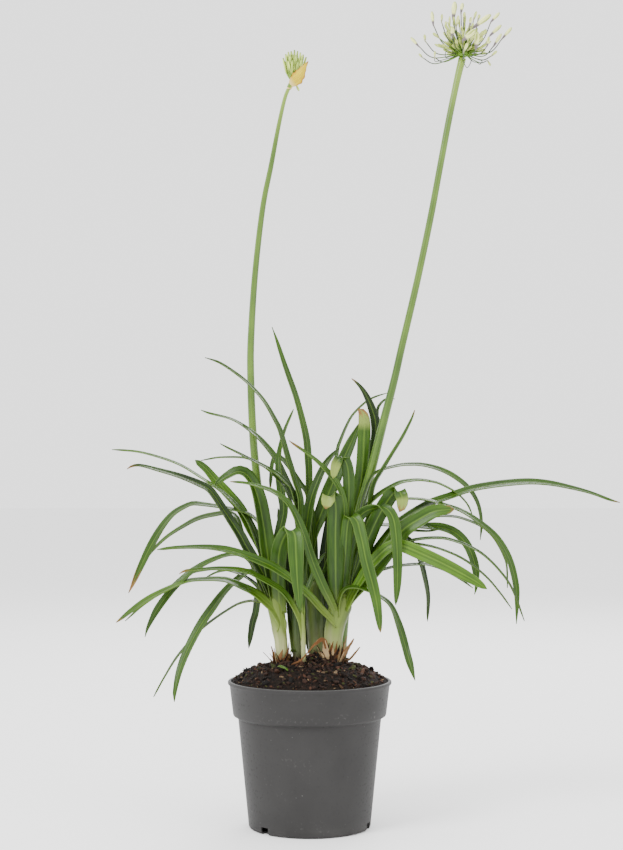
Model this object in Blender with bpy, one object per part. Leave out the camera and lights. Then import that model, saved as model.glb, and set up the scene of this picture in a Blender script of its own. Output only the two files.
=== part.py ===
"""Agapanthus plant in its grey nursery pot.

Leafy shoots, two flower stalks, an open umbel and a half-open head stand in a filled pot.
Lengths are in metres, +Z is up and the viewer is on the -Y side. The pot's underside is at z = 0.
Leaves are given as they look from the front: traced places in a picture of 623 x 850 places, a
depth behind the pot's axis in millimetres, and the width that is seen, in picture places.
"""
import math
import random
from dataclasses import dataclass

import bmesh
import bpy
import numpy as np
from mathutils import Vector

# Sight lines: an eye this far in front of the axis, this high, with this focal length
EYE_BACK = 1.700
EYE_UP = 0.370
FOCAL = 1635.0
AXIS_PX = 309.7
LEVEL_PY = 469.6

# Clearance between pieces that touch
GAP = 0.0003

# Pot
POT_SEGMENTS = 40
RIM_RADIUS = 0.0850
RIM_Z = 0.1512
LIP_HEIGHT = 0.0032
COLLAR_TOP_RADIUS = 0.0832
COLLAR_RADIUS = 0.0796
COLLAR_Z = 0.1159
BODY_TOP_RADIUS = 0.0745
FOOT_RADIUS = 0.0634
WALL = 0.0014
FLOOR = 0.0018
NOTCH_ANGLES = (-46.0, 72.0, 193.0)
NOTCH_SIZE = (0.010, 0.012, 0.0055)

# Soil
SOIL_SECTORS = 28
SOIL_TOP = ((0.012, 0.1702), (0.024, 0.1698), (0.036, 0.1684), (0.048, 0.1660), (0.059, 0.1628),
            (0.068, 0.1588), (0.0760, 0.1536))
SOIL_RIM_RADIUS = 0.0807
SOIL_RIM_Z = 0.1506
CRUMB = 0.0013

# Blades
BLADE_EDGE = 0.0008
BLADE_KEEL = 0.0014
FOOT_Z = 0.1300
STRAIGHT_Z = 0.1760

LEAF_GREEN = (0.095, 0.215, 0.040, 1.0)
DARK_GREEN = (0.035, 0.095, 0.018, 1.0)
STALK_GREEN = (0.290, 0.470, 0.150, 1.0)
BUD_CREAM = (0.780, 0.840, 0.520, 1.0)
BRACT_YELLOW = (0.700, 0.560, 0.120, 1.0)
DRY_TAN = (0.420, 0.260, 0.110, 1.0)
SOIL_BROWN = (0.028, 0.019, 0.013, 1.0)
POT_GREY = (0.105, 0.105, 0.107, 1.0)


@dataclass(frozen=True)
class Leaf:
    """One strap leaf, from its root to its tip."""

    name: str
    wide: float
    trace: tuple
    depth: tuple
    seen: tuple = ()
    way: int = 1
    face: int = 1
    fold: float = 0.13
    blunt: float = 0.0
    base: float = 0.75


@dataclass(frozen=True)
class Shoot:
    """The sheathing foot of a leafy shoot, an upright oval column that leans a little."""

    name: str
    foot: tuple
    girth: tuple
    rise: tuple
    leaves: tuple


LEFT_LEAVES = (
    Leaf("far_thin", 8, ((276, 606), (262, 560), (248, 522), (235, 505), (220, 491), (200, 477.5), (180, 465.5),
                         (160, 458), (140, 452.5), (125, 450.5), (112, 449.5)),
         (-2, 0, 8, 24, 44), (6, 4, 3, 2, 1.5, 1.2), -1),
    Leaf("curl_tip", 11, ((276, 606), (262, 572), (247, 548), (240, 535), (230, 520), (222, 508), (210, 491),
                          (200, 485), (180, 477), (160, 471), (140, 465.5), (131, 466.5), (127, 469)),
         (-4, -6, -10, -22, -36), (8, 9, 9, 7, 6, 3, 1.5), -1),
    Leaf("blunt_light", 11, ((277, 606), (270, 575), (262, 550), (250, 527), (240, 508), (228, 494), (215, 480),
                             (205, 468), (195, 460)),
         (0, 4, 10, 18, 26), (8, 9, 10, 10, 9, 6), -1, 1, 0.13, 0.6),
    Leaf("upright_grey", 10, ((279, 602), (277, 550), (280, 530), (284, 510), (282, 495), (280, 480), (279, 465),
                              (280, 452), (284, 434), (289, 420), (293.5, 409)),
         (2, 4, 4, 4, 4), (8, 9, 9, 9, 6, 3, 1.5), 1),
    Leaf("broad_fold", 17, ((275, 606), (272, 590), (268, 560), (264, 530), (259, 503), (253, 485), (246, 475),
                            (238, 472), (229, 476), (220, 481), (215, 485)),
         (-2, -4, -6, -8, -10), (9, 12, 15, 14, 12, 9, 4), -1, 1, 0.22, 0.3),
    Leaf("far_arch", 12, ((276, 602), (275, 560), (274, 546), (268, 536), (262, 528), (256, 521), (248, 515),
                          (240, 512), (220, 508), (200, 505), (194, 504.5), (188, 506), (174, 514), (162, 528),
                          (150, 548), (140, 568), (132, 586), (128.5, 593)),
         (-2, 2, 6, 14, 22, 28), (5, 6, 5, 2, 2, 3, 6, 8, 7, 3), -1),
    Leaf("inner_arch", 10, ((275, 606), (264, 596), (258, 582), (253, 570), (249, 560), (246, 549), (243, 540),
                            (240, 530), (237, 520), (232, 514.5), (225, 513.5), (215, 515), (205, 517), (195, 520.5),
                            (185, 526), (175, 532), (165, 539), (152, 551), (147, 559)),
         (-6, -2, 8, 22, 36, 44), (3, 3, 3, 3, 4, 4, 3, 2), -1),
    Leaf("mid_droop", 9, ((273, 608), (268, 598), (257, 573), (245, 558), (235, 555), (225, 556), (215, 559.5),
                          (205, 564), (195, 570), (188, 575), (172, 590), (158, 608), (148, 627), (145, 637)),
         (-4, -6, -11, -13, -18, -24), (4, 3, 2, 4, 5, 7, 7, 4), -1),
    Leaf("low_sheath", 13, ((281, 632), (282, 624), (278, 616), (272, 608), (265, 602), (258, 596), (250, 591),
                            (243, 588), (228, 581.5), (218, 580.2), (208, 580.2), (188, 582), (168, 590), (148, 600),
                            (130, 612), (116, 622.5)),
         (-7, -12, -15, -20, -30, -44), (9, 9, 8, 5, 4, 3, 2.5, 4, 5, 4, 2), -1),
    Leaf("low_thin", 6, ((273, 608), (262, 590), (245, 577), (230, 571), (215, 569.5), (203, 570.8), (193, 573),
                         (183, 578), (172, 586), (160, 594), (148, 602), (140, 608), (125, 621)),
         (-4, 0, 6, 16, 26), (3, 2, 1.5, 1.5, 1.5, 1), -1),
    Leaf("short_thin", 5, ((272, 606), (258, 588), (244, 576), (230, 570.7), (222, 571.2), (215, 573), (205, 578)),
         (2, 6, 12, 18), (3, 2, 1.5, 1), -1),
    Leaf("long_hang", 12, ((275, 614), (268, 596), (260, 580), (250, 572), (240, 578), (231, 586), (222, 596),
                           (214, 607), (206, 618), (199, 629), (188, 650), (180, 670), (175, 690), (174.3, 702)),
         (-4, 0, 0, -4, -14, -26), (5, 4, 5, 6, 8, 8, 7, 6, 3), -1),
    Leaf("thin_hang", 6, ((275, 614), (266, 604), (254, 601.3), (246, 602), (238, 604.5), (230, 609), (215, 619),
                          (200, 631), (190, 642), (176, 659), (163, 680), (153.5, 697)),
         (2, 4, 8, 16, 24), (2, 1.5, 1.5, 1.5, 1), -1),
    Leaf("back_hang", 8, ((277, 606), (270, 590), (264, 583), (260, 588), (257.5, 600), (256, 612), (253, 622),
                          (251, 632), (248.7, 648.5)),
         (3, 14, 21, 24, 26), (4, 4, 5, 7, 7, 6, 4), -1),
    Leaf("front_fold", 16, ((281, 614), (279, 600), (278, 570), (280, 548), (286, 534), (291, 530.5), (295, 536),
                            (296, 555), (297, 575), (298.5, 595), (300, 612)),
         (-8, -10, -14, -26, -42, -50, -53, -54, -54), (), 0, 1, 0.10),
)

CENTRE_LEAVES = (
    Leaf("lean_right", 11, ((297, 612), (300, 598), (303, 560), (306, 530), (311, 500), (318, 480), (326, 463),
                            (334, 453), (339, 448)),
         (0, -2, -2, 0, 2), (8, 10, 10, 10, 9, 7, 3), 1),
    Leaf("high_left", 9, ((296, 612), (299, 560), (300, 530), (300, 500), (295, 483), (291, 470), (287, 457),
                          (280, 432), (275, 421), (264, 402), (252, 388), (240, 377), (220, 363), (205, 357.5)),
         (-1, -7, -11, -12, -8, 2, 12), (6, 6, 6, 5, 4, 2.5, 1.5), -1),
    Leaf("mid_left", 8, ((296, 612), (298, 560), (298, 520), (292, 491), (285, 482), (277, 474.5), (270, 470),
                         (260, 464.5), (250, 459.5), (240, 454), (230, 449), (220, 443.5)),
         (-2, -6, -9, -10, -12, -16), (5, 6, 5, 4, 3, 2, 1), -1),
    Leaf("thin_left", 6, ((295, 612), (297, 560), (295, 520), (286, 492), (272, 474), (260, 464.5), (248, 459),
                          (238, 457.5), (220, 457.5), (210, 458.8), (201, 460.5)),
         (0, -6, -9, -3, 6, 12), (3, 3, 2, 1.5, 1.5, 1), -1),
)

SMALL_LEAVES = (
    Leaf("thin_arch", 8, ((303, 640), (302, 632), (300, 622), (297, 614), (293, 606), (288, 598), (282, 591),
                          (275, 586), (266, 581), (258, 577), (250, 573), (240, 570.5), (230, 569.5), (215, 569),
                          (195, 570), (185, 570.7), (179, 574)),
         (-20, -22, -26, -30, -34, -40), (4, 4, 5, 5, 4, 3, 2, 1.5), -1, 1, 0.13, 0, 0.5),
    Leaf("short_right", 6, ((303, 628), (303, 600), (307, 590), (312, 578), (318, 563), (326, 552)),
         (-19, -16, -12, -9), (4, 5, 5, 4, 3), 1),
)

BACK_LEAVES = (
    Leaf("tall_upright", 8, ((313, 600), (310, 560), (309, 520), (308.7, 475), (308, 460), (306.3, 440), (302, 420),
                             (296.7, 400), (293.5, 390), (286.5, 370), (280, 350), (276, 338), (272, 327)),
         (20, 18, 16, 14, 14), (6, 7, 7, 7, 6, 5, 3), -1),
    Leaf("long_left", 10, ((312, 602), (308, 550), (304, 520), (297, 503), (290, 490), (284, 478), (278, 465),
                           (274, 457), (268, 449), (262, 442), (256, 436), (243, 426), (230, 419), (210, 413.5),
                           (201, 410)),
         (20, 18, 15, 13, 13, 18, 26), (7, 8, 8, 7, 5, 2, 1.5), -1),
    Leaf("knee", 8, ((315, 600), (314, 540), (308, 497), (300, 484), (295, 476), (288, 466), (282, 459), (277, 456),
                     (273, 461), (271, 475), (270, 492)),
         (22, 20, 18, 17, 19, 23, 26), (6, 6, 6, 5, 4, 4, 3), -1),
    Leaf("broad_right", 15, ((311, 602), (308, 570), (312, 537), (320, 517), (330, 490), (343, 460), (352, 440),
                             (360, 422)),
         (22, 23, 25, 27, 29), (9, 10, 12, 14, 14, 11, 6), 1),
    Leaf("back_fold", 14, ((318, 600), (332, 560), (346, 530), (356, 505), (361, 480), (363, 460), (364, 440),
                           (364.5, 424), (363, 414), (358, 409)),
         (22, 22, 22, 20, 19, 20), (8, 9, 11, 13, 13, 13, 10), 1, -1, 0.13, 0.7),
    Leaf("bent_dark", 10, ((319, 602), (338, 560), (356, 520), (368, 480), (374, 450), (376, 432), (375, 419),
                           (372, 409), (368, 399), (363, 390), (357, 383), (351.5, 378.5)),
         (25, 30, 33, 32, 30), (7, 8, 9, 10, 10, 9, 4), -1, -1),
    Leaf("short_back", 7, ((320, 602), (345, 550), (362, 500), (372, 450), (377, 420), (378, 408), (383, 401),
                           (388, 398), (395, 399)),
         (27, 36, 42, 42, 42), (4, 4, 5, 4, 3, 2), 1),
    Leaf("thin_back", 6, ((317, 602), (325, 540), (332, 490), (338, 450), (340, 443), (346, 428), (353, 415),
                          (366, 402), (376, 396.5), (387, 393)),
         (25, 32, 37, 42, 50), (3, 3, 3, 3, 2, 1), 1),
)

RIGHT_LEAVES = (
    Leaf("cross_left", 9, ((337, 618), (333, 606), (324, 588), (313, 562), (302, 530), (290, 506), (275, 493),
                           (260, 487), (245, 483), (230, 481.5)),
         (-9, -22, -28, -29, -31, -36, -38), (7, 9, 9, 8, 5, 2.5, 1.5), -1),
    Leaf("brown_tip", 8, ((342, 602), (347, 560), (345, 530), (344, 505), (341, 492), (337, 484), (331, 476),
                          (325, 469), (313, 458), (300, 448.5), (289, 440.5)),
         (-6, -10, -13, -15, -16, -16), (7, 8, 8, 7, 6, 5, 3, 1.5), -1),
    Leaf("low_left", 11, ((337, 626), (330, 618), (322, 610), (313, 600), (305, 592), (290, 579), (280, 572),
                          (270, 566), (250, 557.5), (230, 551), (215, 548.5), (200, 547.6), (175, 548), (157, 549.5)),
         (-10, -27, -30, -31, -36, -42, -48), (5, 6, 6, 7, 7, 6, 4, 3, 1.5), -1, 1, 0.13, 0, 0.6),
    Leaf("tongue", 12, ((342, 602), (345, 560), (348, 520), (349, 490), (348, 470), (344, 458.5), (338, 460),
                        (335, 468), (333, 479)),
         (-4, -5, -6, -8, -10, -16, -21, -22), (), 0, 1, 0.10, 0.9),
    Leaf("front_broad", 17, ((338, 610), (336, 590), (335.5, 560), (335.5, 530), (336, 510), (334, 497.5),
                             (329, 497), (325.5, 509)),
         (-9, -15, -20, -22, -23, -25, -33, -37), (), 0, 1, 0.10, 0.9, 0.5),
    Leaf("front_hang", 12, ((341, 602), (345, 560), (347, 530), (350, 517), (357, 521), (360, 532), (363, 545),
                            (366, 560), (370, 575), (374, 590), (377, 605), (380.5, 632.5)),
         (-6, -13, -22, -34, -44, -52, -57, -60), (), 0, 1, 0.13, 0.4),
    Leaf("right_hang", 11, ((345, 602), (347, 575), (350, 550), (355, 525), (363, 513), (375, 508), (386, 508.5),
                            (393, 518), (396, 535), (397.5, 560), (397.3, 585), (395.7, 605)),
         (-4, -8, -14, -22, -32, -38, -41, -42), (), 0, 1, 0.13, 0.4),
    Leaf("orange_tip", 15, ((346, 602), (352, 580), (362, 555), (372, 530), (382, 510), (392, 494.5), (398, 491),
                            (402, 497), (402, 505), (399.5, 512)),
         (-5, -6, -8, -10, -13, -22, -26), (), 0, 1, 0.12, 0.8),
    Leaf("right_broad", 17, ((346, 606), (352, 596), (365, 580), (380, 560), (392, 545), (403, 530), (418, 520),
                             (433, 512), (445, 510), (454, 509.5)),
         (-10, -14, -18, -20, -24), (9, 14, 17, 17, 16, 14, 7), 1, 1, 0.13, 0.5),
    Leaf("long_right", 12, ((346, 604), (358, 580), (375, 552), (390, 532), (400, 522), (415, 512), (432, 503),
                            (450, 497), (470, 490), (490, 486), (510, 483.5), (530, 482.3), (550, 484), (570, 488),
                            (590, 493), (610, 499.8), (620, 502.5)),
         (-5, -5, -2, 6, 18, 32, 46), (6, 6, 6, 5, 6, 6.5, 6, 5, 3, 2), 1),
    Leaf("loop_right", 9, ((345, 600), (352, 560), (362, 510), (368, 487), (374, 475), (383, 470), (400, 465.8),
                           (410, 465), (420, 465.2), (430, 467), (440, 470), (450, 474.5), (460, 481), (467, 487),
                           (472, 493), (477, 502), (480, 512), (481.5, 525), (480.3, 540)),
         (-4, -4, -3, 6, 18, 26, 30), (4, 3, 2, 1.5, 2, 3, 5, 4, 1.5), 1),
    Leaf("mid_right", 10, ((346, 600), (352, 560), (360, 522), (368, 506), (378, 496), (388, 489.5), (400, 483.5),
                           (410, 481.5), (420, 480.8), (430, 482), (440, 484.5), (456, 493), (467, 504), (472, 514)),
         (-2, -2, 0, 3, 8, 10), (6, 6, 6, 4, 3, 2, 1.5, 1), 1),
    Leaf("far_droop", 10, ((347, 602), (356, 560), (368, 520), (383, 503), (393, 500.5), (405, 499.5), (420, 499.8),
                           (432, 502), (450, 507), (465, 513.5), (480, 523.5), (492, 533.5), (500, 543), (507, 555),
                           (512, 568), (515.5, 582), (517, 597), (516.5, 624)),
         (-4, -5, 0, -4, -16, -28, -36), (4, 3, 2, 1.5, 2, 4, 6, 6.5, 4), 1),
    Leaf("thin_droop", 6, ((347, 604), (365, 575), (385, 550), (410, 528), (425, 519), (440, 516.5), (455, 517),
                           (465, 519.7), (475, 523.5), (484, 528.5), (492, 536), (498, 545), (503, 555),
                           (506.5, 566), (507.5, 588)),
         (-5, -4, -2, 6, 14, 18), (3, 2, 2, 2, 2, 1), 1),
    Leaf("wide_droop", 12, ((345, 604), (350, 570), (355, 540), (363, 527), (375, 525.5), (392, 526), (410, 526.5),
                            (428, 527), (443, 528.3), (457, 534.5), (468, 547), (475, 565), (476.5, 585),
                            (474.5, 594.5)),
         (-4, -3, -1, 0, -6, -14, -20), (5, 4, 2, 2, 3, 6, 9, 8, 5), 1),
    Leaf("short_right", 6, ((346, 604), (370, 565), (390, 538), (402, 530), (415, 531), (428, 531.3), (436, 530),
                            (441, 528.5)),
         (-6, -9, -8, -6), (3, 2, 2, 2, 1), 1),
    Leaf("near_thin", 6, ((347, 606), (365, 580), (385, 558), (402, 544), (420, 539.3), (438, 538.3), (450, 540),
                          (468, 546.5), (483, 555), (499, 570.5), (512, 589), (524.5, 621)),
         (-8, -10, -20, -32, -40, -50), (2, 2, 2, 2, 1.2), 1),
    Leaf("near_thread", 5, ((347, 608), (368, 582), (388, 557), (405, 545), (425, 545.5), (445, 551), (465, 560.5),
                            (485, 576), (500, 593), (512, 609)),
         (-8, -12, -26, -36, -44), (2, 2, 1.5, 1), 1),
    Leaf("bright_low", 13, ((345, 610), (355, 590), (370, 566), (385, 550), (395, 545), (404, 546.5), (420, 553),
                            (440, 562), (460, 572.5), (475, 581), (487, 589)),
         (-11, -20, -28, -38, -50, -60), (7, 8, 10, 12, 13, 11, 7), 1, 1, 0.13, 0.4),
    Leaf("hang_dark", 9, ((345, 606), (365, 575), (385, 549), (399, 539), (407, 539), (413, 546), (417, 555),
                          (421, 564), (426.5, 587), (428, 600), (427.5, 621.5)),
         (-7, -8, -8, -6, -2, 2), (5, 4, 4, 4, 5, 5, 4, 2), 1),
    Leaf("thin_low", 6, ((346, 608), (358, 587), (372, 574.5), (385, 569.5), (400, 566), (420, 564.5), (430, 565.5),
                         (445, 571), (462, 580.5), (473, 588)),
         (-9, -12, -12, -8, -4), (2, 2, 2, 1.5, 1), 1),
    Leaf("lowest_right", 10, ((338, 616), (339, 603), (344, 591), (352, 588), (365, 590.5), (381, 598), (391, 607),
                              (398.5, 625), (405.5, 648), (409, 660), (415, 680.5)),
         (-10, -20, -28, -36, -46, -56, -66), (4, 2, 2, 3, 5, 7, 7, 4), 1),
    Leaf("high_right", 8, ((347, 600), (358, 570), (366, 540), (369, 520), (371, 500), (375, 483), (383, 469.5),
                           (393, 453), (403, 436.5), (411, 420), (414.7, 410)),
         (-2, 0, 0, -2, -4, -6), (6, 6, 5, 5, 4, 3, 1.5), 1, -1),
)

SHOOTS = (
    Shoot("shoot_left", (282, -4), (6.6, 6.2),
          ((640, 281, 6.8, 6.2, -4), (622, 278, 8.0, 6.4, -4), (606, 275.5, 9.0, 6.4, -4), (597, 275, 7.0, 5.0, -4)),
          LEFT_LEAVES),
    Shoot("shoot_centre", (297, 0), (4.6, 4.4),
          ((640, 296.5, 4.6, 4.4, 0), (620, 296, 4.8, 4.4, 0), (604, 297.5, 5.6, 4.2, -1), (594, 298, 4.0, 3.2, -1)),
          CENTRE_LEAVES),
    Shoot("shoot_small", (303.5, -20), (2.5, 2.5),
          ((645, 303.5, 2.5, 2.5, -20), (630, 303, 2.6, 2.5, -20), (616, 302, 2.2, 2.2, -20)),
          SMALL_LEAVES),
    Shoot("shoot_back", (316, 20), (8.2, 6.4),
          ((640, 316, 8.4, 6.4, 20), (620, 315, 9.4, 6.4, 20), (596, 314.5, 9.8, 6.2, 21), (584, 315, 7.5, 5.0, 21)),
          BACK_LEAVES),
    Shoot("shoot_right", (334, -4), (9.2, 7.0),
          ((640, 333.5, 9.4, 7.2, -4), (625, 335, 10.6, 7.6, -5), (608, 340, 12.0, 7.6, -6),
           (597, 342.5, 9.5, 6.0, -6)),
          RIGHT_LEAVES),
)

# Flower stalks: foot place, then (px, py, depth mm, radius mm) upwards
LEFT_STALK = ((284, 28), 4.3,
              ((283, 640, 29, 4.3), (277, 600, 33, 4.3), (264, 530, 34, 4.3), (256, 470, 34, 4.2),
               (252.7, 430, 34, 4.1), (250.8, 380, 33, 3.9), (250.9, 341, 32, 3.7), (255, 275, 28, 3.3),
               (262.7, 208, 22, 3.0), (271, 166, 16, 2.7), (279, 124, 8, 2.2), (285.5, 96, 3, 1.9),
               (291.0, 84.2, 1, 2.0)))
RIGHT_STALK = ((342, 22), 5.0,
               ((342.5, 640, 22, 5.0), (346, 600, 20, 5.2), (353, 550, 16, 5.2), (360, 510, 14, 5.1),
                (370, 475, 14, 4.9), (384, 420, 11, 4.4), (394.3, 380, 9, 4.0), (402, 346, 7, 3.8),
                (417, 282, 4, 3.6), (430.5, 218, 2, 3.5), (439.5, 170, 0, 3.4), (448.5, 122, 0, 3.4),
                (455, 90, 0, 3.4), (458.5, 74, 0, 3.6), (462.3, 58.45, 0, 4.0)))

# Open head: the knob, then buds as (tip px, py), (bud base px, py), depths of tip and base in mm, fatness mm
KNOB = (463, 54, 0)
OUTER_BUDS = (
    (454.9, 1.5, 453.2, 19, -6, -4, 2.9), (462.7, 3, 461, 12.5, 6, 5, 2.0), (431.8, 11.5, 433.3, 25, 4, 3, 1.9),
    (442, 14, 441.5, 22, -12, -10, 1.3), (445.8, 21.4, 446, 27, 12, 10, 1.3), (410.7, 37.5, 418.4, 46, 2, 2, 1.7),
    (424.5, 34.4, 425, 41, -14, -13, 1.5), (419, 53.6, 422.2, 57.4, 14, 13, 1.3), (435, 51, 434.6, 57.6, -24, -22, 1.1),
    (499.5, 12.6, 491, 21.8, 6, 5, 1.9), (501.4, 25, 490, 35.6, -6, -5, 2.0), (511.7, 27.5, 502.5, 38.3, 3, 3, 1.9),
    (501.4, 33.7, 493.7, 46, 14, 12, 1.9), (497, 51, 491.4, 56, -10, -9, 1.5), (490.7, 65.8, 487.5, 60.5, 10, 9, 1.1),
    (491, 14.5, 473.5, 27.5, -22, -16, 2.9), (475.7, 29.5, 462.7, 40.5, -46, -40, 2.9),
    (479.6, 14.5, 478, 20, 20, 18, 1.6), (476.5, 11.5, 473.5, 20, 10, 8, 1.5), (464.7, 12, 463.5, 19, -18, -16, 1.6),
    (489, 36.5, 487.2, 46, -24, -21, 1.7), (477.5, 31.5, 476, 49, -38, -34, 2.7), (467.7, 42.8, 463.6, 52, -48, -44, 1.6),
    (471, 17, 470, 25, -28, -25, 1.7), (458.5, 15.5, 456, 27, -26, -22, 1.6), (452, 26.5, 452.5, 35.5, -34, -30, 2.4),
    (449.8, 16.5, 449.6, 27, 20, 17, 1.3),
)
INNER_BUDS = 22
BUD_REACH = (0.030, 0.046)

# Half-open head: knob, buds as (tip px, py, depth mm)
BUNCH = (292.4, 81.0, 0)
BUNCH_TIPS = (
    (283.2, 58, 0), (285.6, 54.2, -5), (288.4, 52.0, -2), (291.2, 51.3, 3), (294.5, 50.0, -3), (297.6, 51.2, 2),
    (300.4, 52.6, -4), (303.2, 54.6, 1), (306.2, 57.2, 4), (284.6, 61.5, 5), (286.9, 57.2, 7), (290.0, 55.6, -8),
    (293.0, 54.8, 8), (296.3, 55.6, -9), (299.4, 56.6, 8), (302.4, 59.0, -7), (305.0, 61.5, 8), (288.2, 61.0, -10),
    (292.6, 60.2, -11), (298.6, 61.6, -11),
)


def clear_scene():
    """Take every object out of the scene."""
    for thing in list(bpy.data.objects):
        bpy.data.objects.remove(thing, do_unlink=True)


def coat(name, colour, rough):
    """A plain material."""
    finish = bpy.data.materials.new(name)
    finish.use_nodes = True
    shader = finish.node_tree.nodes["Principled BSDF"]
    shader.inputs["Base Color"].default_value = colour
    shader.inputs["Roughness"].default_value = rough
    return finish


def sight(px, py, depth_mm):
    """The point seen at a picture place, at a depth behind the pot's axis."""
    reach = (EYE_BACK + depth_mm * 0.001) / FOCAL
    return Vector(((px - AXIS_PX) * reach, depth_mm * 0.001, EYE_UP + (LEVEL_PY - py) * reach))


def curve_through(points, per_span=10):
    """Catmull-Rom points through the given ones."""
    pts = [np.asarray(p, float) for p in points]
    pts = [2 * pts[0] - pts[1]] + pts + [2 * pts[-1] - pts[-2]]
    out = []
    for i in range(1, len(pts) - 2):
        p0, p1, p2, p3 = pts[i - 1:i + 3]
        for k in range(per_span):
            t = k / per_span
            out.append(0.5 * (2 * p1 + (p2 - p0) * t + (2 * p0 - 5 * p1 + 4 * p2 - p3) * t * t
                              + (3 * p1 - p0 - 3 * p2 + p3) * t ** 3))
    out.append(pts[-2])
    return np.array(out)


def spread(values, share):
    """Values spread evenly along the blade, read at each share of its length."""
    return np.interp(share, np.linspace(0, 1, len(values)), values)


def smooth(rows, width):
    """A moving average that keeps the ends."""
    rows = np.asarray(rows, float)
    flat = rows.reshape(len(rows), -1)
    pad = np.vstack([np.repeat(flat[:1], width, 0), flat, np.repeat(flat[-1:], width, 0)])
    kernel = np.ones(2 * width + 1) / (2 * width + 1)
    out = np.column_stack([np.convolve(pad[:, c], kernel, "valid") for c in range(flat.shape[1])])
    return out.reshape(rows.shape)


def unit(rows):
    """Rows scaled to length 1."""
    return rows / np.maximum(np.linalg.norm(rows, axis=1, keepdims=True), 1e-9)


def leaf_width(leaf, share):
    """Real width along a blade in metres: narrow foot, strap, tapered tip."""
    foot = leaf.base + (1 - leaf.base) * np.clip(share / 0.3, 0, 1) ** 0.7
    tip = np.clip((share - 0.62) / 0.38, 0, 1)
    taper = 1 - (1 - 0.35 * leaf.blunt) * tip ** (1.5 + 1.5 * leaf.blunt)
    return leaf.wide * 0.001 * foot * np.maximum(taper, 0.16)


def leaf_frame(leaf):
    """Fine centreline, side, normal, width and share of one leaf."""
    flat = curve_through(leaf.trace)
    run = np.concatenate([[0], np.cumsum(np.linalg.norm(np.diff(flat, axis=0), axis=1))])
    share = np.linspace(0, 1, 161)
    px = np.interp(share, run / run[-1], flat[:, 0])
    py = np.interp(share, run / run[-1], flat[:, 1])
    deep = smooth(spread(leaf.depth, share), 9)
    mid = np.array([sight(a, b, d) for a, b, d in zip(px, py, deep)])
    along = unit(np.gradient(mid, axis=0))
    wide = leaf_width(leaf, share)
    if leaf.way == 0:
        side = np.tile([1.0, 0.0, 0.0], (len(share), 1))
    else:
        seen = smooth(spread(leaf.seen, share), 7) * EYE_BACK / FOCAL
        wide = np.maximum(wide, np.minimum(seen, wide * 1.25))
        lean = np.clip(seen / wide, 0.06, 1.0)
        plan = unit(np.column_stack([-along[:, 2], np.zeros(len(share)), along[:, 0]]))
        side = plan * lean[:, None]
        side[:, 1] += np.sqrt(1 - lean ** 2) * leaf.way * leaf.face
        side = smooth(side, 4)
    side = unit(side - along * np.sum(side * along, axis=1, keepdims=True))
    return mid, along, side, np.cross(along, side), wide, share


def stations(mid, along, count):
    """Places of the rings: closer together where the blade bends."""
    step = np.linalg.norm(np.diff(mid, axis=0), axis=1)
    turn = np.arccos(np.clip(np.sum(along[1:] * along[:-1], axis=1), -1, 1))
    load = np.concatenate([[0], np.cumsum(step / step.sum() + 0.9 * turn / max(turn.sum(), 1.2))])
    return np.interp(np.linspace(0, load[-1], count), load, np.arange(len(mid)))


def ring_count(mid, along):
    """How many rings a blade needs."""
    length = np.linalg.norm(np.diff(mid, axis=0), axis=1).sum()
    turn = np.arccos(np.clip(np.sum(along[1:] * along[:-1], axis=1), -1, 1)).sum()
    return int(np.clip(round(2.0 + length / 0.085 + turn / 0.55), 5, 10))


def blade_rings(leaf):
    """Rings of six points: a shallow channel with a thicker keel."""
    mid, along, side, normal, wide, share = leaf_frame(leaf)
    rings = []
    for at in stations(mid, along, ring_count(mid, along)):
        pick = [np.array([np.interp(at, np.arange(len(mid)), rows[:, c]) for c in range(3)])
                for rows in (mid, side, normal)]
        half = np.interp(at, np.arange(len(mid)), wide) / 2
        centre, across, up = pick
        if leaf.way == 0:
            rise = leaf.fold * 2 * half
        else:
            rise = leaf.fold * 2 * half * leaf.face
        keel = up * BLADE_KEEL / 2
        edge = up * BLADE_EDGE / 2
        lift = up * rise
        rings.append([centre - across * half + lift + edge, centre + keel, centre + across * half + lift + edge,
                      centre + across * half + lift - edge, centre - keel, centre - across * half + lift - edge])
    return rings


def blade_mesh(rings):
    """Vertices and triangles of a closed blade, split alike on both faces."""
    verts = [tuple(p) for ring in rings for p in ring]
    tris = []
    for i in range(len(rings) - 1):
        a, b = i * 6, (i + 1) * 6
        for k, flip in ((0, 0), (1, 1), (2, 0), (3, 0), (4, 1), (5, 0)):
            p, q = a + k, a + (k + 1) % 6
            r, s = b + (k + 1) % 6, b + k
            tris += [(p, q, r), (p, r, s)] if flip == 0 else [(p, q, s), (q, r, s)]
    end = (len(rings) - 1) * 6
    tris += [(1, 0, 5), (1, 5, 4), (2, 1, 4), (2, 4, 3)]
    tris += [(end + 0, end + 1, end + 5), (end + 1, end + 4, end + 5), (end + 1, end + 2, end + 4),
             (end + 2, end + 3, end + 4)]
    return verts, tris


def solid(name, verts, faces, finish=None):
    """A closed object with its faces outward."""
    mesh = bpy.data.meshes.new(name)
    body = bpy.data.objects.new(name, mesh)
    bpy.context.scene.collection.objects.link(body)
    work = bmesh.new()
    made = [work.verts.new(v) for v in verts]
    for face in faces:
        work.faces.new([made[i] for i in face])
    bmesh.ops.recalc_face_normals(work, faces=work.faces[:])
    if work.calc_volume(signed=True) < 0:
        bmesh.ops.reverse_faces(work, faces=work.faces[:])
    work.to_mesh(mesh)
    work.free()
    if finish:
        mesh.materials.append(finish)
    return body


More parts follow.
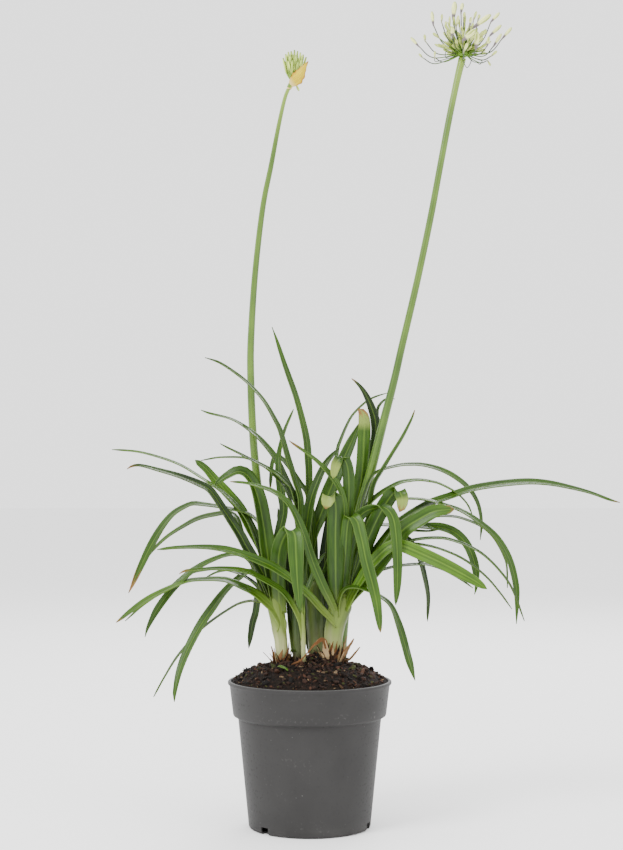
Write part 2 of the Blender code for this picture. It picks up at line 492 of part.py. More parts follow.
def tube_mesh(rings, fan=True):
    """Vertices and faces of a closed tube of equal rings, with triangles in its walls."""
    count = len(rings[0])
    verts = [tuple(p) for ring in rings for p in ring]
    faces = []
    for i in range(len(rings) - 1):
        for k in range(count):
            p, q = i * count + k, i * count + (k + 1) % count
            faces += [(p, q, q + count), (p, q + count, p + count)]
    faces.append(tuple(reversed(range(count))))
    faces.append(tuple((len(rings) - 1) * count + k for k in range(count)))
    return verts, faces


def oval(centre, rx, ry, sides=12, wave=0.0):
    """A level oval ring of points."""
    return [Vector((centre[0] + (rx + wave * (k % 2)) * math.cos(2 * math.pi * k / sides),
                    centre[1] + (ry + wave * (k % 2)) * math.sin(2 * math.pi * k / sides), centre[2]))
            for k in range(sides)]


def round_tube(points, radii, sides, start_side=(0, 1, 0)):
    """A tube of round rings along points."""
    pts = np.array([tuple(p) for p in points])
    along = unit(np.gradient(pts, axis=0))
    rings = []
    hint = np.array(start_side, float)
    for p, t, r in zip(pts, along, radii):
        u = hint - t * hint.dot(t)
        u = u / max(np.linalg.norm(u), 1e-9)
        v = np.cross(t, u)
        hint = u
        rings.append([p + r * (u * math.cos(2 * math.pi * k / sides) + v * math.sin(2 * math.pi * k / sides))
                      for k in range(sides)])
    return tube_mesh(rings)


def join(base, others, operation="UNION"):
    """Join (or cut) a body with the others by one Boolean, then take the others away."""
    group = bpy.data.collections.new(base.name + "_parts")
    bpy.context.scene.collection.children.link(group)
    for other in others:
        bpy.context.scene.collection.objects.unlink(other)
        group.objects.link(other)
    step = base.modifiers.new("join", "BOOLEAN")
    step.operation = operation
    step.operand_type = "COLLECTION"
    step.collection = group
    step.solver = "MANIFOLD"
    finish = base.data.materials[0] if base.data.materials else None
    mesh = bpy.data.meshes.new_from_object(base.evaluated_get(bpy.context.evaluated_depsgraph_get()))
    base.modifiers.clear()
    base.data = mesh
    mesh.materials.clear()
    if finish:
        mesh.materials.append(finish)
    for poly in mesh.polygons:
        poly.material_index = 0
    for other in list(others):
        bpy.data.objects.remove(other, do_unlink=True)
    bpy.data.collections.remove(group)
    return base


def one_body(body):
    """Keep the one big closed body: loose scraps and sealed hollows are dropped."""
    work = bmesh.new()
    work.from_mesh(body.data)
    bmesh.ops.triangulate(work, faces=work.faces[:])
    left = set(work.faces)
    islands = []
    while left:
        seed = left.pop()
        island, queue = [seed], [seed]
        while queue:
            face = queue.pop()
            for edge in face.edges:
                for near in edge.link_faces:
                    if near in left:
                        left.remove(near)
                        island.append(near)
                        queue.append(near)
        islands.append(island)
    islands.sort(key=len, reverse=True)
    if len(islands) > 1:
        print("dropped from", body.name, [len(i) for i in islands[1:]])
    for island in islands[1:]:
        bmesh.ops.delete(work, geom=island, context="FACES")
    work.to_mesh(body.data)
    work.free()
    print(body.name, len(body.data.polygons), "triangles")
    return body


def column_rings(foot, girth, rise, grow=0.0):
    """Rings of a shoot's foot: straight in the soil, then leaning as it is seen."""
    base = sight(foot[0], 655, foot[1])
    rings = [oval((base.x, base.y, FOOT_Z), girth[0] * 0.001 + grow, girth[1] * 0.001 + grow),
             oval((base.x, base.y, STRAIGHT_Z), girth[0] * 0.001 + grow, girth[1] * 0.001 + grow)]
    for row, px, rx, ry, deep in rise:
        at = sight(px, row, deep)
        rings.append(oval(at, rx * 0.001, ry * 0.001))
    return rings


def build_shoot(shoot, finish):
    """One leafy shoot: the sheathed foot with its leaves fused in."""
    body = solid(shoot.name, *tube_mesh(column_rings(shoot.foot, shoot.girth, shoot.rise)), finish)
    blades = [solid(leaf.name, *blade_mesh(blade_rings(leaf))) for leaf in shoot.leaves]
    return one_body(join(body, blades))


def stalk_points(stalk):
    """Centre points and radii of a flower stalk, from its foot in the soil to its top."""
    (px, deep), radius, rise = stalk
    base = sight(px, 655, deep)
    points = [Vector((base.x, base.y, FOOT_Z)), Vector((base.x, base.y, STRAIGHT_Z))]
    radii = [radius * 0.001, radius * 0.001]
    for x, y, d, r in rise:
        points.append(sight(x, y, d))
        radii.append(r * 0.001)
    return points, radii


def build_stalk(name, stalk, finish):
    """A bare flower stalk."""
    points, radii = stalk_points(stalk)
    fine = curve_through([tuple(p) for p in points[1:]], 1)
    size = np.interp(np.linspace(0, len(radii) - 2, len(fine)), np.arange(len(radii) - 1), radii[1:])
    points = [points[0]] + [Vector(p) for p in fine]
    radii = [radii[0]] + list(size)
    rings = []
    for i, (p, r) in enumerate(zip(points, radii)):
        if i < 2:
            rings.append(oval(p, r, r, 7))
            continue
        t = (points[min(i + 1, len(points) - 1)] - points[i - 1]).normalized()
        u = (Vector((1, 0, 0)) - t * t.x).normalized()
        v = t.cross(u)
        rings.append([p + (u * math.cos(2 * math.pi * k / 7) + v * math.sin(2 * math.pi * k / 7)) * float(r)
                      for k in range(7)])
    return one_body(solid(name, *tube_mesh(rings), finish))


def bud(name, root, elbow, base, tip, fat, sides=4):
    """A fine stalklet that swells into a bud."""
    path = curve_through([root, elbow, base], 2)
    spine = [path[0], path[2], path[4]]
    radii = [0.0008, 0.0007, 0.0008]
    for at, size in ((0.30, 0.95), (0.80, 1.0), (1.0, 0.35)):
        spine.append(np.asarray(base) + (np.asarray(tip) - np.asarray(base)) * at)
        radii.append(fat * size)
    return solid(name, *round_tube(spine, radii, sides))


def knob(name, centre, radius, finish, squash=0.7):
    """A low round knob."""
    rings = []
    for level in (-0.96, -0.6, 0.0, 0.6, 0.96):
        wide = math.sqrt(1 - level * level) * radius
        rings.append(oval((centre[0], centre[1], centre[2] + level * radius * squash), wide, wide, 10))
    return solid(name, *tube_mesh(rings), finish)


def build_umbel(finish):
    """The open head: a knob with buds on fine stalklets, all one body."""
    heart = sight(*KNOB)
    body = knob("umbel", heart, 0.0062, finish)
    buds = []
    for i, (tx, ty, bx, by, td, bd, fat) in enumerate(OUTER_BUDS):
        tip, base = sight(tx, ty, td), sight(bx, by, bd)
        low = heart + (base - heart) * 0.08
        mid = heart + (base - heart) * 0.55
        away = Vector((base.x - heart.x, base.y - heart.y, 0))
        mid = mid + away * 0.12 - Vector((0, 0, away.length * 0.18))
        buds.append(bud("bud_%02d" % i, low, mid, base, tip, fat * 0.001))
    chance = random.Random(7)
    for i in range(INNER_BUDS):
        turn = i * 2.39996 + 0.4
        height = 0.97 - 0.92 * ((i + 0.5) / INNER_BUDS) ** 0.85
        flat = math.sqrt(max(0.0, 1 - height * height))
        aim = Vector((flat * math.cos(turn), flat * math.sin(turn) * 0.94, height + 0.05)).normalized()
        reach = BUD_REACH[0] + (BUD_REACH[1] - BUD_REACH[0]) * chance.random()
        reach *= 0.72 + 0.28 * abs(aim.z)
        length = chance.uniform(0.0065, 0.0125)
        base = heart + aim * (reach - length)
        tip = heart + aim * reach + Vector((0, 0, length * 0.12))
        mid = heart + aim * (reach - length) * 0.55 - Vector((0, 0, 0.0016))
        low = heart + aim * 0.002
        buds.append(bud("bud_in_%02d" % i, low, mid, base, tip, chance.uniform(0.0012, 0.0018)))
    return one_body(join(body, buds))


def build_bunch(finish):
    """The half-open head: a knob with a tight bunch of upright buds."""
    heart = sight(*BUNCH)
    body = knob("bud_head", heart, 0.0032, finish, 0.9)
    buds = []
    for i, (px, py, deep) in enumerate(BUNCH_TIPS):
        tip = sight(px, py, deep)
        out = Vector((tip.x - heart.x, tip.y - heart.y, 0))
        base = heart + Vector((out.x * 0.72, out.y * 0.72, (tip.z - heart.z) * 0.42))
        mid = heart + Vector((out.x * 0.36, out.y * 0.36, (tip.z - heart.z) * 0.16))
        buds.append(bud("bunch_%02d" % i, heart, mid, base, tip, 0.0018))
    stray = [sight(294.8, 82.4, 1), sight(296.0, 84.6, 3), sight(296.8, 87.0, 3), sight(299.0, 91, 4)]
    buds.append(bud("bunch_stray", heart, stray[0], stray[1], stray[3], 0.0013))
    return one_body(join(body, buds))


def strip(name, centres, sides, widths, normal_hint, thick=0.0008, fold=0.12):
    """A thin blade through explicit centres."""
    pts = np.array([tuple(c) for c in centres])
    along = unit(np.gradient(pts, axis=0))
    rings = []
    for p, t, w, s in zip(pts, along, widths, sides):
        s = np.asarray(s, float)
        s = s - t * s.dot(t)
        s = s / np.linalg.norm(s)
        n = np.cross(t, s)
        if n.dot(np.asarray(normal_hint, float)) < 0:
            n, s = -n, -s
        lift, edge, half = n * fold * w, n * thick / 2, w / 2
        rings.append([p - s * half + lift + edge, p + edge, p + s * half + lift + edge,
                      p + s * half + lift - edge, p - edge, p - s * half + lift - edge])
    return solid(name, *blade_mesh(rings))


def build_spathe(finish):
    """The papery bract: a sleeve around the stalk's top with a pointed blade and a short one."""
    top = stalk_points(LEFT_STALK)[0][-1]
    inner, outer = 0.0020 + 0.0011, 0.0020 + 0.0021
    low, high = top.z - 0.0052, top.z - 0.0008
    lean = Vector((0.0024, -0.0009, 0))
    verts, faces = [], []
    for z, r, s in ((low, outer, 0), (high, outer, 1), (high, inner, 1), (low, inner, 0)):
        centre = Vector((top.x, top.y, z)) - lean * (0 if s else 1)
        verts += [tuple(p) for p in oval(centre, r, r, 10)]
    for ring in range(4):
        for k in range(10):
            a, b = ring * 10 + k, ring * 10 + (k + 1) % 10
            c, d = ((ring + 1) % 4) * 10 + (k + 1) % 10, ((ring + 1) % 4) * 10 + k
            faces.append((a, b, c, d))
    body = solid("spathe", verts, faces, finish)
    beak = strip("beak", [sight(291.0, 88.4, -2.0), sight(295.2, 84.0, -9.5), sight(300.2, 75.5, -14.5),
                          sight(304.4, 68.0, -15.5), sight(308.2, 61.2, -14.5)],
                 [(1, -0.5, 0.35)] * 5, (0.0042, 0.0105, 0.0105, 0.0062, 0.0012), (-0.3, 1, 0), 0.0008, 0.16)
    stub = strip("stub", [sight(285.7, 88.6, 1.0), sight(284.6, 85.0, 1.0), sight(284.0, 80.5, 1.5)],
                 [(0, 1, 0)] * 3, (0.0034, 0.0058, 0.0028), (1, 0, 0), 0.0008, 0.12)
    return one_body(join(body, [beak, stub]))


def dry_collar(name, shoot, heights, finish):
    """A ragged collar of old sheath around a shoot's foot, standing in the soil."""
    base = sight(shoot.foot[0], 655, shoot.foot[1])
    gx, gy = shoot.girth[0] * 0.001, shoot.girth[1] * 0.001
    inner, outer = 0.0004, 0.0013
    verts, faces = [], []
    for grow, top in ((outer, 0), (outer, 1), (inner, 1), (inner, 0)):
        ring = oval((base.x, base.y, 0.1560), gx + grow, gy + grow)
        for k, p in enumerate(ring):
            verts.append((p.x, p.y, heights[k] if top else p.z))
    for ring in range(4):
        for k in range(12):
            a, b = ring * 12 + k, ring * 12 + (k + 1) % 12
            c, d = ((ring + 1) % 4) * 12 + (k + 1) % 12, ((ring + 1) % 4) * 12 + k
            faces += [(a, b, c), (a, c, d)]
    return solid(name, verts, faces, finish)


def build_pot(finish):
    """The nursery pot: turned wall with lip, collar and step, and drain notches at its foot."""
    inside = [(RIM_RADIUS - 0.0034, RIM_Z), (COLLAR_RADIUS - WALL - 0.0002, COLLAR_Z + 0.0030),
              (BODY_TOP_RADIUS - WALL, COLLAR_Z - 0.0030), (FOOT_RADIUS - WALL, FLOOR)]
    outside = [(FOOT_RADIUS - 0.0010, 0.0), (FOOT_RADIUS, 0.0012), (BODY_TOP_RADIUS, COLLAR_Z - 0.0036),
               (COLLAR_RADIUS, COLLAR_Z), (COLLAR_TOP_RADIUS, RIM_Z - LIP_HEIGHT - 0.0012),
               (RIM_RADIUS, RIM_Z - LIP_HEIGHT), (RIM_RADIUS, RIM_Z - 0.0008), (RIM_RADIUS - 0.0008, RIM_Z)]
    verts, faces = [], []
    profile = outside + inside
    for r, z in profile:
        for k in range(POT_SEGMENTS):
            a = 2 * math.pi * k / POT_SEGMENTS
            verts.append((r * math.cos(a), r * math.sin(a), z))
    for i in range(len(profile) - 1):
        for k in range(POT_SEGMENTS):
            a, b = i * POT_SEGMENTS + k, i * POT_SEGMENTS + (k + 1) % POT_SEGMENTS
            faces.append((a, b, b + POT_SEGMENTS, a + POT_SEGMENTS))
    faces.append(tuple(reversed(range(POT_SEGMENTS))))
    faces.append(tuple((len(profile) - 1) * POT_SEGMENTS + k for k in range(POT_SEGMENTS)))
    pot = solid("pot", verts, faces, finish)
    cutters = []
    for angle in NOTCH_ANGLES:
        a = math.radians(angle)
        way = Vector((math.sin(a), -math.cos(a), 0))
        side = Vector((way.y, -way.x, 0))
        w, d, h = NOTCH_SIZE
        corners = []
        for z in (-0.0010, FLOOR + h):
            for out, across in ((-d / 2, -w / 2), (-d / 2, w / 2), (d / 2, w / 2), (d / 2, -w / 2)):
                p = way * (FOOT_RADIUS + out) + side * across
                corners.append((p.x, p.y, z))
        cutters.append(solid("notch", corners, [(0, 1, 2, 3), (7, 6, 5, 4), (0, 1, 5, 4), (1, 2, 6, 5),
                                                (2, 3, 7, 6), (3, 0, 4, 7)]))
    return one_body(join(pot, cutters, "DIFFERENCE"))


def build_soil(finish):
    """The filled soil: a plug inside the pot, with a crumbly mound and plain holes for the stems."""
    chance = random.Random(3)
    rings = []
    wall = [(FOOT_RADIUS - WALL - 0.0012, FLOOR + GAP),
            (BODY_TOP_RADIUS - WALL - GAP - 0.0004, COLLAR_Z - 0.0036),
            (COLLAR_RADIUS - WALL - 0.0012, COLLAR_Z + 0.0036),
            (SOIL_RIM_RADIUS, SOIL_RIM_Z)]
    for r, z in wall:
        rings.append([(r * math.cos(2 * math.pi * k / SOIL_SECTORS), r * math.sin(2 * math.pi * k / SOIL_SECTORS), z)
                      for k in range(SOIL_SECTORS)])
    for i, (r, z) in enumerate(reversed(SOIL_TOP)):
        ring = []
        for k in range(SOIL_SECTORS):
            a = 2 * math.pi * (k + 0.5 * (i % 2)) / SOIL_SECTORS
            bump = CRUMB * chance.uniform(-1.0, 1.0) * (1.0 if r < 0.075 else 0.5)
            rr = r + chance.uniform(-0.0012, 0.0012)
            ring.append((rr * math.cos(a), rr * math.sin(a), z + bump))
        rings.append(ring)
    verts = [p for ring in rings for p in ring]
    faces = []
    for i in range(len(rings) - 1):
        for k in range(SOIL_SECTORS):
            a, b = i * SOIL_SECTORS + k, i * SOIL_SECTORS + (k + 1) % SOIL_SECTORS
            faces += [(a, b, b + SOIL_SECTORS), (a, b + SOIL_SECTORS, a + SOIL_SECTORS)]
    faces.append(tuple(reversed(range(SOIL_SECTORS))))
    last = (len(rings) - 1) * SOIL_SECTORS
    verts.append((0.0, 0.0, 0.1704))
    for k in range(SOIL_SECTORS):
        faces.append((last + k, last + (k + 1) % SOIL_SECTORS, len(verts) - 1))
    soil = solid("soil", verts, faces, finish)
    holes = []
    for shoot in SHOOTS:
        base = sight(shoot.foot[0], 655, shoot.foot[1])
        gx, gy = shoot.girth[0] * 0.001 + 0.0004, shoot.girth[1] * 0.001 + 0.0004
        rings = [oval((base.x, base.y, z), gx, gy) for z in (FOOT_Z - GAP, 0.1900)]
        if shoot.name in ("shoot_left", "shoot_right"):
            rings = [rings[0], oval((base.x, base.y, 0.1557), gx, gy),
                     oval((base.x, base.y, 0.1557), gx + 0.0013, gy + 0.0013),
                     oval((base.x, base.y, 0.1900), gx + 0.0013, gy + 0.0013)]
        holes.append(solid("hole", *tube_mesh(rings)))
    for (px, deep), radius, _ in (LEFT_STALK, RIGHT_STALK):
        base = sight(px, 655, deep)
        r = radius * 0.001 + 0.0004
        holes.append(solid("hole", *tube_mesh([oval((base.x, base.y, z), r, r, 7) for z in (FOOT_Z - GAP, 0.19)])))
    return one_body(join(soil, holes, "DIFFERENCE"))


def build_dry(finish):
    """Old sheaths around the left and the right shoot."""
    left, right = SHOOTS[0], SHOOTS[4]
    left_tops = (0.1745, 0.1735, 0.1765, 0.1750, 0.1740, 0.1762, 0.1765, 0.1760, 0.1740, 0.1730, 0.1758, 0.1740)
    right_tops = (0.1750, 0.1765, 0.1740, 0.1760, 0.1745, 0.1765, 0.1758, 0.1765, 0.1768, 0.1765, 0.1750, 0.1762)
    one = dry_collar("dry_sheath_left", left, left_tops, finish)
    two = dry_collar("dry_sheath_right", right, right_tops, finish)
    tuft = strip("tuft", [sight(274.6, 663, -9), sight(274.0, 657, -10), sight(272.6, 650, -11), sight(271.2, 646, -11)],
                 [(0.5, 1, 0)] * 4, (0.004, 0.004, 0.003, 0.0012), (-1, -0.4, 0))
    fibre = strip("fibre", [sight(326.5, 648, -12.6), sight(324, 640.5, -14.5), sight(319, 640.5, -19), sight(313, 647, -24),
                            sight(307, 654, -27), sight(300, 661, -29), sight(291, 664.6, -31)],
                  [(0, 1, 0.3)] * 7, (0.0035, 0.003, 0.0026, 0.0024, 0.0022, 0.002, 0.0014), (0, -1, 1), 0.0012, 0.1)
    patch = strip("patch", [sight(326.5, 662.5, -9.6), sight(326.0, 656, -11.2), sight(325.5, 648, -12.6),
                            sight(324.2, 638.5, -14)],
                  [(1, -0.35, 0)] * 4, (0.0075, 0.008, 0.006, 0.0015), (-0.3, -1, 0), 0.0008, 0.06)
    sheath = strip("sheath", [sight(341.0, 663.0, -9.7), sight(344.5, 653, -13.0), sight(348, 647, -14.4),
                              sight(351, 643, -15.2), sight(354, 638.5, -15.6)],
                   [(1, 0.35, 0.6)] * 5, (0.004, 0.006, 0.005, 0.0035, 0.0012), (0, -1, 0))
    twig = strip("twig", [sight(344.2, 661, -3), sight(349.5, 659, -5), sight(354.5, 653.5, -5), sight(360, 647, -6)],
                 [(0, 1, 0)] * 4, (0.0022, 0.002, 0.0018, 0.0012), (0, 0, 1), 0.0012, 0.0)
    return [one_body(join(one, [tuft])), one_body(join(two, [fibre, patch, sheath, twig]))]


def build_scrap(finish):
    """A scrap of leaf that lies on the soil."""
    centres = [sight(278.5, 666.1, -40), sight(281.5, 666.7, -42), sight(285, 668.3, -45), sight(288, 671.1, -48)]
    body = strip("leaf_scrap", centres, [(0, 1, 0.1)] * 4, (0.004, 0.0075, 0.007, 0.002), (0, -0.2, 1), 0.0008, 0.05)
    body.data.materials.append(finish)
    return one_body(body)


def main():
    """Build every piece."""
    clear_scene()
    leaf = coat("leaf", LEAF_GREEN, 0.45)
    dark = coat("leaf_dark", DARK_GREEN, 0.45)
    stalk = coat("stalk", STALK_GREEN, 0.45)
    build_pot(coat("pot_plastic", POT_GREY, 0.4))
    build_soil(coat("soil", SOIL_BROWN, 0.9))
    for shoot in SHOOTS:
        build_shoot(shoot, dark if shoot.name == "shoot_centre" else leaf)
    build_stalk("stalk_left", LEFT_STALK, stalk)
    build_stalk("stalk_right", RIGHT_STALK, stalk)
    build_umbel(coat("bud", BUD_CREAM, 0.5))
    build_bunch(coat("bud_green", BUD_CREAM, 0.5))
    build_spathe(coat("bract", BRACT_YELLOW, 0.5))
    build_dry(coat("dry", DRY_TAN, 0.7))
    build_scrap(coat("scrap", LEAF_GREEN, 0.5))


main()
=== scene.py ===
"""Agapanthus plant in its grey nursery pot, dressed for the picture.

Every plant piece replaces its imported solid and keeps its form, with finer blades, sheaths, buds,
crumbs and procedural colour. Lengths are in metres, +Z is up and the viewer is on the -Y side.
"""

import logging
import math
import random
from dataclasses import dataclass
from enum import Enum
from typing import Callable, ClassVar, Iterable, Sequence

import bmesh
import bpy
import numpy as np
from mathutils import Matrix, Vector, noise

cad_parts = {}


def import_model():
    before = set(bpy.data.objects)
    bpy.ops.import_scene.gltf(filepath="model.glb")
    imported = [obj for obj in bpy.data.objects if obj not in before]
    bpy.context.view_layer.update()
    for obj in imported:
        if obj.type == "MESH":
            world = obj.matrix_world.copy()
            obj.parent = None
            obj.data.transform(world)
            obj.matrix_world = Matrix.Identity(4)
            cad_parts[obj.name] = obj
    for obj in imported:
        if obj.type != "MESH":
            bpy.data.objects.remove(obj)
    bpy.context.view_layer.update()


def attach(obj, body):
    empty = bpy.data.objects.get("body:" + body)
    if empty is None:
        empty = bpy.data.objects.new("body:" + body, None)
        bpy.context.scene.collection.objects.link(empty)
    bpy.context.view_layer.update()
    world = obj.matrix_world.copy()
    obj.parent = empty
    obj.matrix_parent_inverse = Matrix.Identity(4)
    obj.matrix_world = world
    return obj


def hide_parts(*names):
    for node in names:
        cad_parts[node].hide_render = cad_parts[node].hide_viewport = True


LOG = logging.getLogger("agapanthus")

# The picture's own size, and the sight lines from the eye to the pot's axis
PICTURE = (623.0, 850.0)
EYE_BACK = 1.700
EYE_UP = 0.370
FOCAL = 1635.0
AXIS_PX = 309.7
LEVEL_PY = 469.6
GROUND_ROW = 655
MM = 0.001

# Pot and soil sizes, and where each foot starts and stops being straight
RIM_RADIUS = 0.0850
RIM_Z = 0.1512
LIP_HEIGHT = 0.0032
COLLAR_TOP_RADIUS = 0.0832
COLLAR_RADIUS = 0.0796
COLLAR_Z = 0.1159
BODY_TOP_RADIUS = 0.0745
FOOT_RADIUS = 0.0634
WALL = 0.0014
FLOOR = 0.0018
NOTCH_ANGLES = (-46.0, 72.0, 193.0)
NOTCH_SIZE = (0.010, 0.012, 0.0055)
FOOT_Z = 0.1300
STRAIGHT_Z = 0.1760


class Finish(Enum):
    """The record's material slots."""

    POT = "pot_plastic"
    SOIL = "soil"
    LEAF = "leaf"
    DARK_LEAF = "leaf_dark"
    STALK = "stalk"
    BUD = "bud"
    GREEN_BUD = "bud_green"
    BRACT = "bract"
    DRY = "dry"
    SCRAP = "scrap"


@dataclass(frozen=True)
class Leaf:
    """One strap leaf, from its root to its tip.

    Args:
        name: plain name.
        wide: real width in millimetres.
        trace: places in the picture, root first.
        depth: depths behind the pot's axis in millimetres, spread evenly.
        seen: seen widths in picture places, spread evenly.
        way: 1 to the right, -1 to the left, 0 towards the viewer.
        face: 1 where the upper face is seen, -1 where the under face is.
        fold: depth of the channel as a share of the width.
        blunt: how blunt the tip is.
        base: width at the root as a share of the full width.
        tone: 0 is dark green, 1 is bright yellow green.
        dry: share of the length that is dry at the tip.
        folded: the tip folds over and is painted pale there, as a highlight on the fold.
        inner: an inner leaf base that the picture hides; its foot keeps little paleness, as painted shade.
    """

    name: str
    wide: float
    trace: tuple
    depth: tuple
    seen: tuple = ()
    way: int = 1
    face: int = 1
    fold: float = 0.13
    blunt: float = 0.0
    base: float = 0.75
    tone: float = 0.12
    dry: float = 0.0
    folded: bool = False
    inner: bool = False


@dataclass(frozen=True)
class Shoot:
    """The sheathing foot of a leafy shoot and its leaves.

    Args:
        name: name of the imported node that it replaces.
        foot: picture column and depth of the foot.
        girth: half widths of the foot in millimetres.
        rise: rings above the soil as (row, column, half width, half depth, depth).
        leaves: the leaves.
    """

    name: str
    foot: tuple
    girth: tuple
    rise: tuple
    leaves: tuple


LEFT_LEAVES = (
    Leaf("far_thin", 8,
         ((276, 606), (262, 560), (248, 522), (235, 505), (220, 491), (200, 477.5), (180, 465.5),
          (160, 458), (140, 452.5), (125, 450.5), (112, 449.5)),
         (-2, 0, 8, 24, 44), (6, 4, 3, 2, 1.5, 1.2), -1, tone=0.55),
    Leaf("curl_tip", 11,
         ((276, 606), (262, 572), (247, 548), (240, 535), (230, 520), (222, 508), (210, 491), (200, 485),
          (180, 477), (160, 471), (140, 465.5), (131, 466.5), (127, 469)),
         (-4, -6, -10, -22, -36), (8, 9, 9, 7, 6, 3, 1.5), -1, tone=0.18, dry=0.02),
    Leaf("blunt_light", 11,
         ((277, 606), (270, 575), (262, 550), (250, 527), (240, 508), (228, 494), (215, 480), (205, 468),
          (195, 460)),
         (0, 4, 10, 18, 26), (8, 9, 10, 10, 9, 6), -1, 1, 0.13, 0.6, tone=0.60),
    Leaf("upright_grey", 10,
         ((279, 602), (277, 550), (280, 530), (284, 510), (282, 495), (280, 480), (279, 465), (280, 452),
          (284, 434), (289, 420), (293.5, 409)),
         (2, 4, 4, 4, 4), (8, 9, 9, 9, 6, 3, 1.5), 1, tone=0.40),
    Leaf("broad_fold", 17,
         ((275, 606), (272, 590), (268, 560), (264, 530), (259, 503), (253, 485), (246, 475), (238, 472),
          (229, 476), (220, 481), (215, 485)),
         (-2, -4, -6, -8, -10), (9, 12, 15, 14, 12, 9, 4), -1, 1, 0.22, 0.3, tone=0.42),
    Leaf("far_arch", 12,
         ((276, 602), (275, 560), (274, 546), (268, 536), (262, 528), (256, 521), (248, 515), (240, 512),
          (220, 508), (200, 505), (194, 504.5), (188, 506), (174, 514), (162, 528), (150, 548),
          (140, 568), (132, 586), (128.5, 593)),
         (-2, 2, 6, 14, 22, 28), (5, 6, 5, 2, 2, 3, 6, 8, 7, 3), -1, tone=0.42, dry=0.05),
    Leaf("inner_arch", 10,
         ((275, 606), (264, 596), (258, 582), (253, 570), (249, 560), (246, 549), (243, 540), (240, 530),
          (237, 520), (232, 514.5), (225, 513.5), (215, 515), (205, 517), (195, 520.5), (185, 526),
          (175, 532), (165, 539), (152, 551), (147, 559)),
         (-6, -2, 8, 22, 36, 44), (3, 3, 3, 3, 4, 4, 3, 2), -1, tone=0.62),
    Leaf("mid_droop", 9,
         ((273, 608), (268, 598), (257, 573), (245, 558), (235, 555), (225, 556), (215, 559.5),
          (205, 564), (195, 570), (188, 575), (172, 590), (158, 608), (148, 627), (145, 637)),
         (-4, -6, -11, -13, -18, -24), (4, 3, 2, 4, 5, 7, 7, 4), -1, tone=0.45),
    Leaf("low_sheath", 13,
         ((281, 632), (282, 624), (278, 616), (272, 608), (265, 602), (258, 596), (250, 591), (243, 588),
          (228, 581.5), (218, 580.2), (208, 580.2), (188, 582), (168, 590), (148, 600), (130, 612),
          (116, 622.5)),
         (-7, -12, -15, -20, -30, -44), (9, 9, 8, 5, 4, 3, 2.5, 4, 5, 4, 2), -1, tone=0.60, dry=0.02),
    Leaf("low_thin", 6,
         ((273, 608), (262, 590), (245, 577), (230, 571), (215, 569.5), (203, 570.8), (193, 573),
          (183, 578), (172, 586), (160, 594), (148, 602), (140, 608), (125, 621)),
         (-4, 0, 6, 16, 26), (3, 2, 1.5, 1.5, 1.5, 1), -1, tone=0.45),
    Leaf("short_thin", 5,
         ((272, 606), (258, 588), (244, 576), (230, 570.7), (222, 571.2), (215, 573), (205, 578)),
         (2, 6, 12, 18), (3, 2, 1.5, 1), -1, tone=0.45),
    Leaf("long_hang", 12,
         ((275, 614), (268, 596), (260, 580), (250, 572), (240, 578), (231, 586), (222, 596), (214, 607),
          (206, 618), (199, 629), (188, 650), (180, 670), (175, 690), (174.3, 702)),
         (-4, 0, 0, -4, -14, -26), (5, 4, 5, 6, 8, 8, 7, 6, 3), -1, tone=0.50),
    Leaf("thin_hang", 6,
         ((275, 614), (266, 604), (254, 601.3), (246, 602), (238, 604.5), (230, 609), (215, 619),
          (200, 631), (190, 642), (176, 659), (163, 680), (153.5, 697)),
         (2, 4, 8, 16, 24), (2, 1.5, 1.5, 1.5, 1), -1, tone=0.40),
    Leaf("back_hang", 8,
         ((277, 606), (270, 590), (264, 583), (260, 588), (257.5, 600), (256, 612), (253, 622),
          (251, 632), (248.7, 648.5)),
         (3, 14, 21, 24, 26), (4, 4, 5, 7, 7, 6, 4), -1, tone=0.30),
    Leaf("front_fold", 16,
         ((281, 614), (279, 600), (278, 570), (280, 548), (286, 534), (291, 530.5), (295, 536),
          (296, 555), (297, 575), (298.5, 595), (300, 612)),
         (-8, -10, -14, -26, -42, -50, -53, -54, -54), (), 0, 1, 0.10, tone=0.48),
)

CENTRE_LEAVES = (
    Leaf("lean_right", 11,
         ((297, 612), (300, 598), (303, 560), (306, 530), (311, 500), (318, 480), (326, 463), (334, 453),
          (339, 448)),
         (0, -2, -2, 0, 2), (8, 10, 10, 10, 9, 7, 3), 1, tone=0.30),
    Leaf("high_left", 9,
         ((296, 612), (299, 560), (300, 530), (300, 500), (295, 483), (291, 470), (287, 457), (280, 432),
          (275, 421), (264, 402), (252, 388), (240, 377), (220, 363), (205, 357.5)),
         (-1, -7, -11, -12, -8, 2, 12), (6, 6, 6, 5, 4, 2.5, 1.5), -1, tone=0.38),
    Leaf("mid_left", 8,
         ((296, 612), (298, 560), (298, 520), (292, 491), (285, 482), (277, 474.5), (270, 470),
          (260, 464.5), (250, 459.5), (240, 454), (230, 449), (220, 443.5)),
         (-2, -6, -9, -10, -12, -16), (5, 6, 5, 4, 3, 2, 1), -1, tone=0.34),
    Leaf("thin_left", 6,
         ((295, 612), (297, 560), (295, 520), (286, 492), (272, 474), (260, 464.5), (248, 459),
          (238, 457.5), (220, 457.5), (210, 458.8), (201, 460.5)),
         (0, -6, -9, -3, 6, 12), (3, 3, 2, 1.5, 1.5, 1), -1, tone=0.38),
)

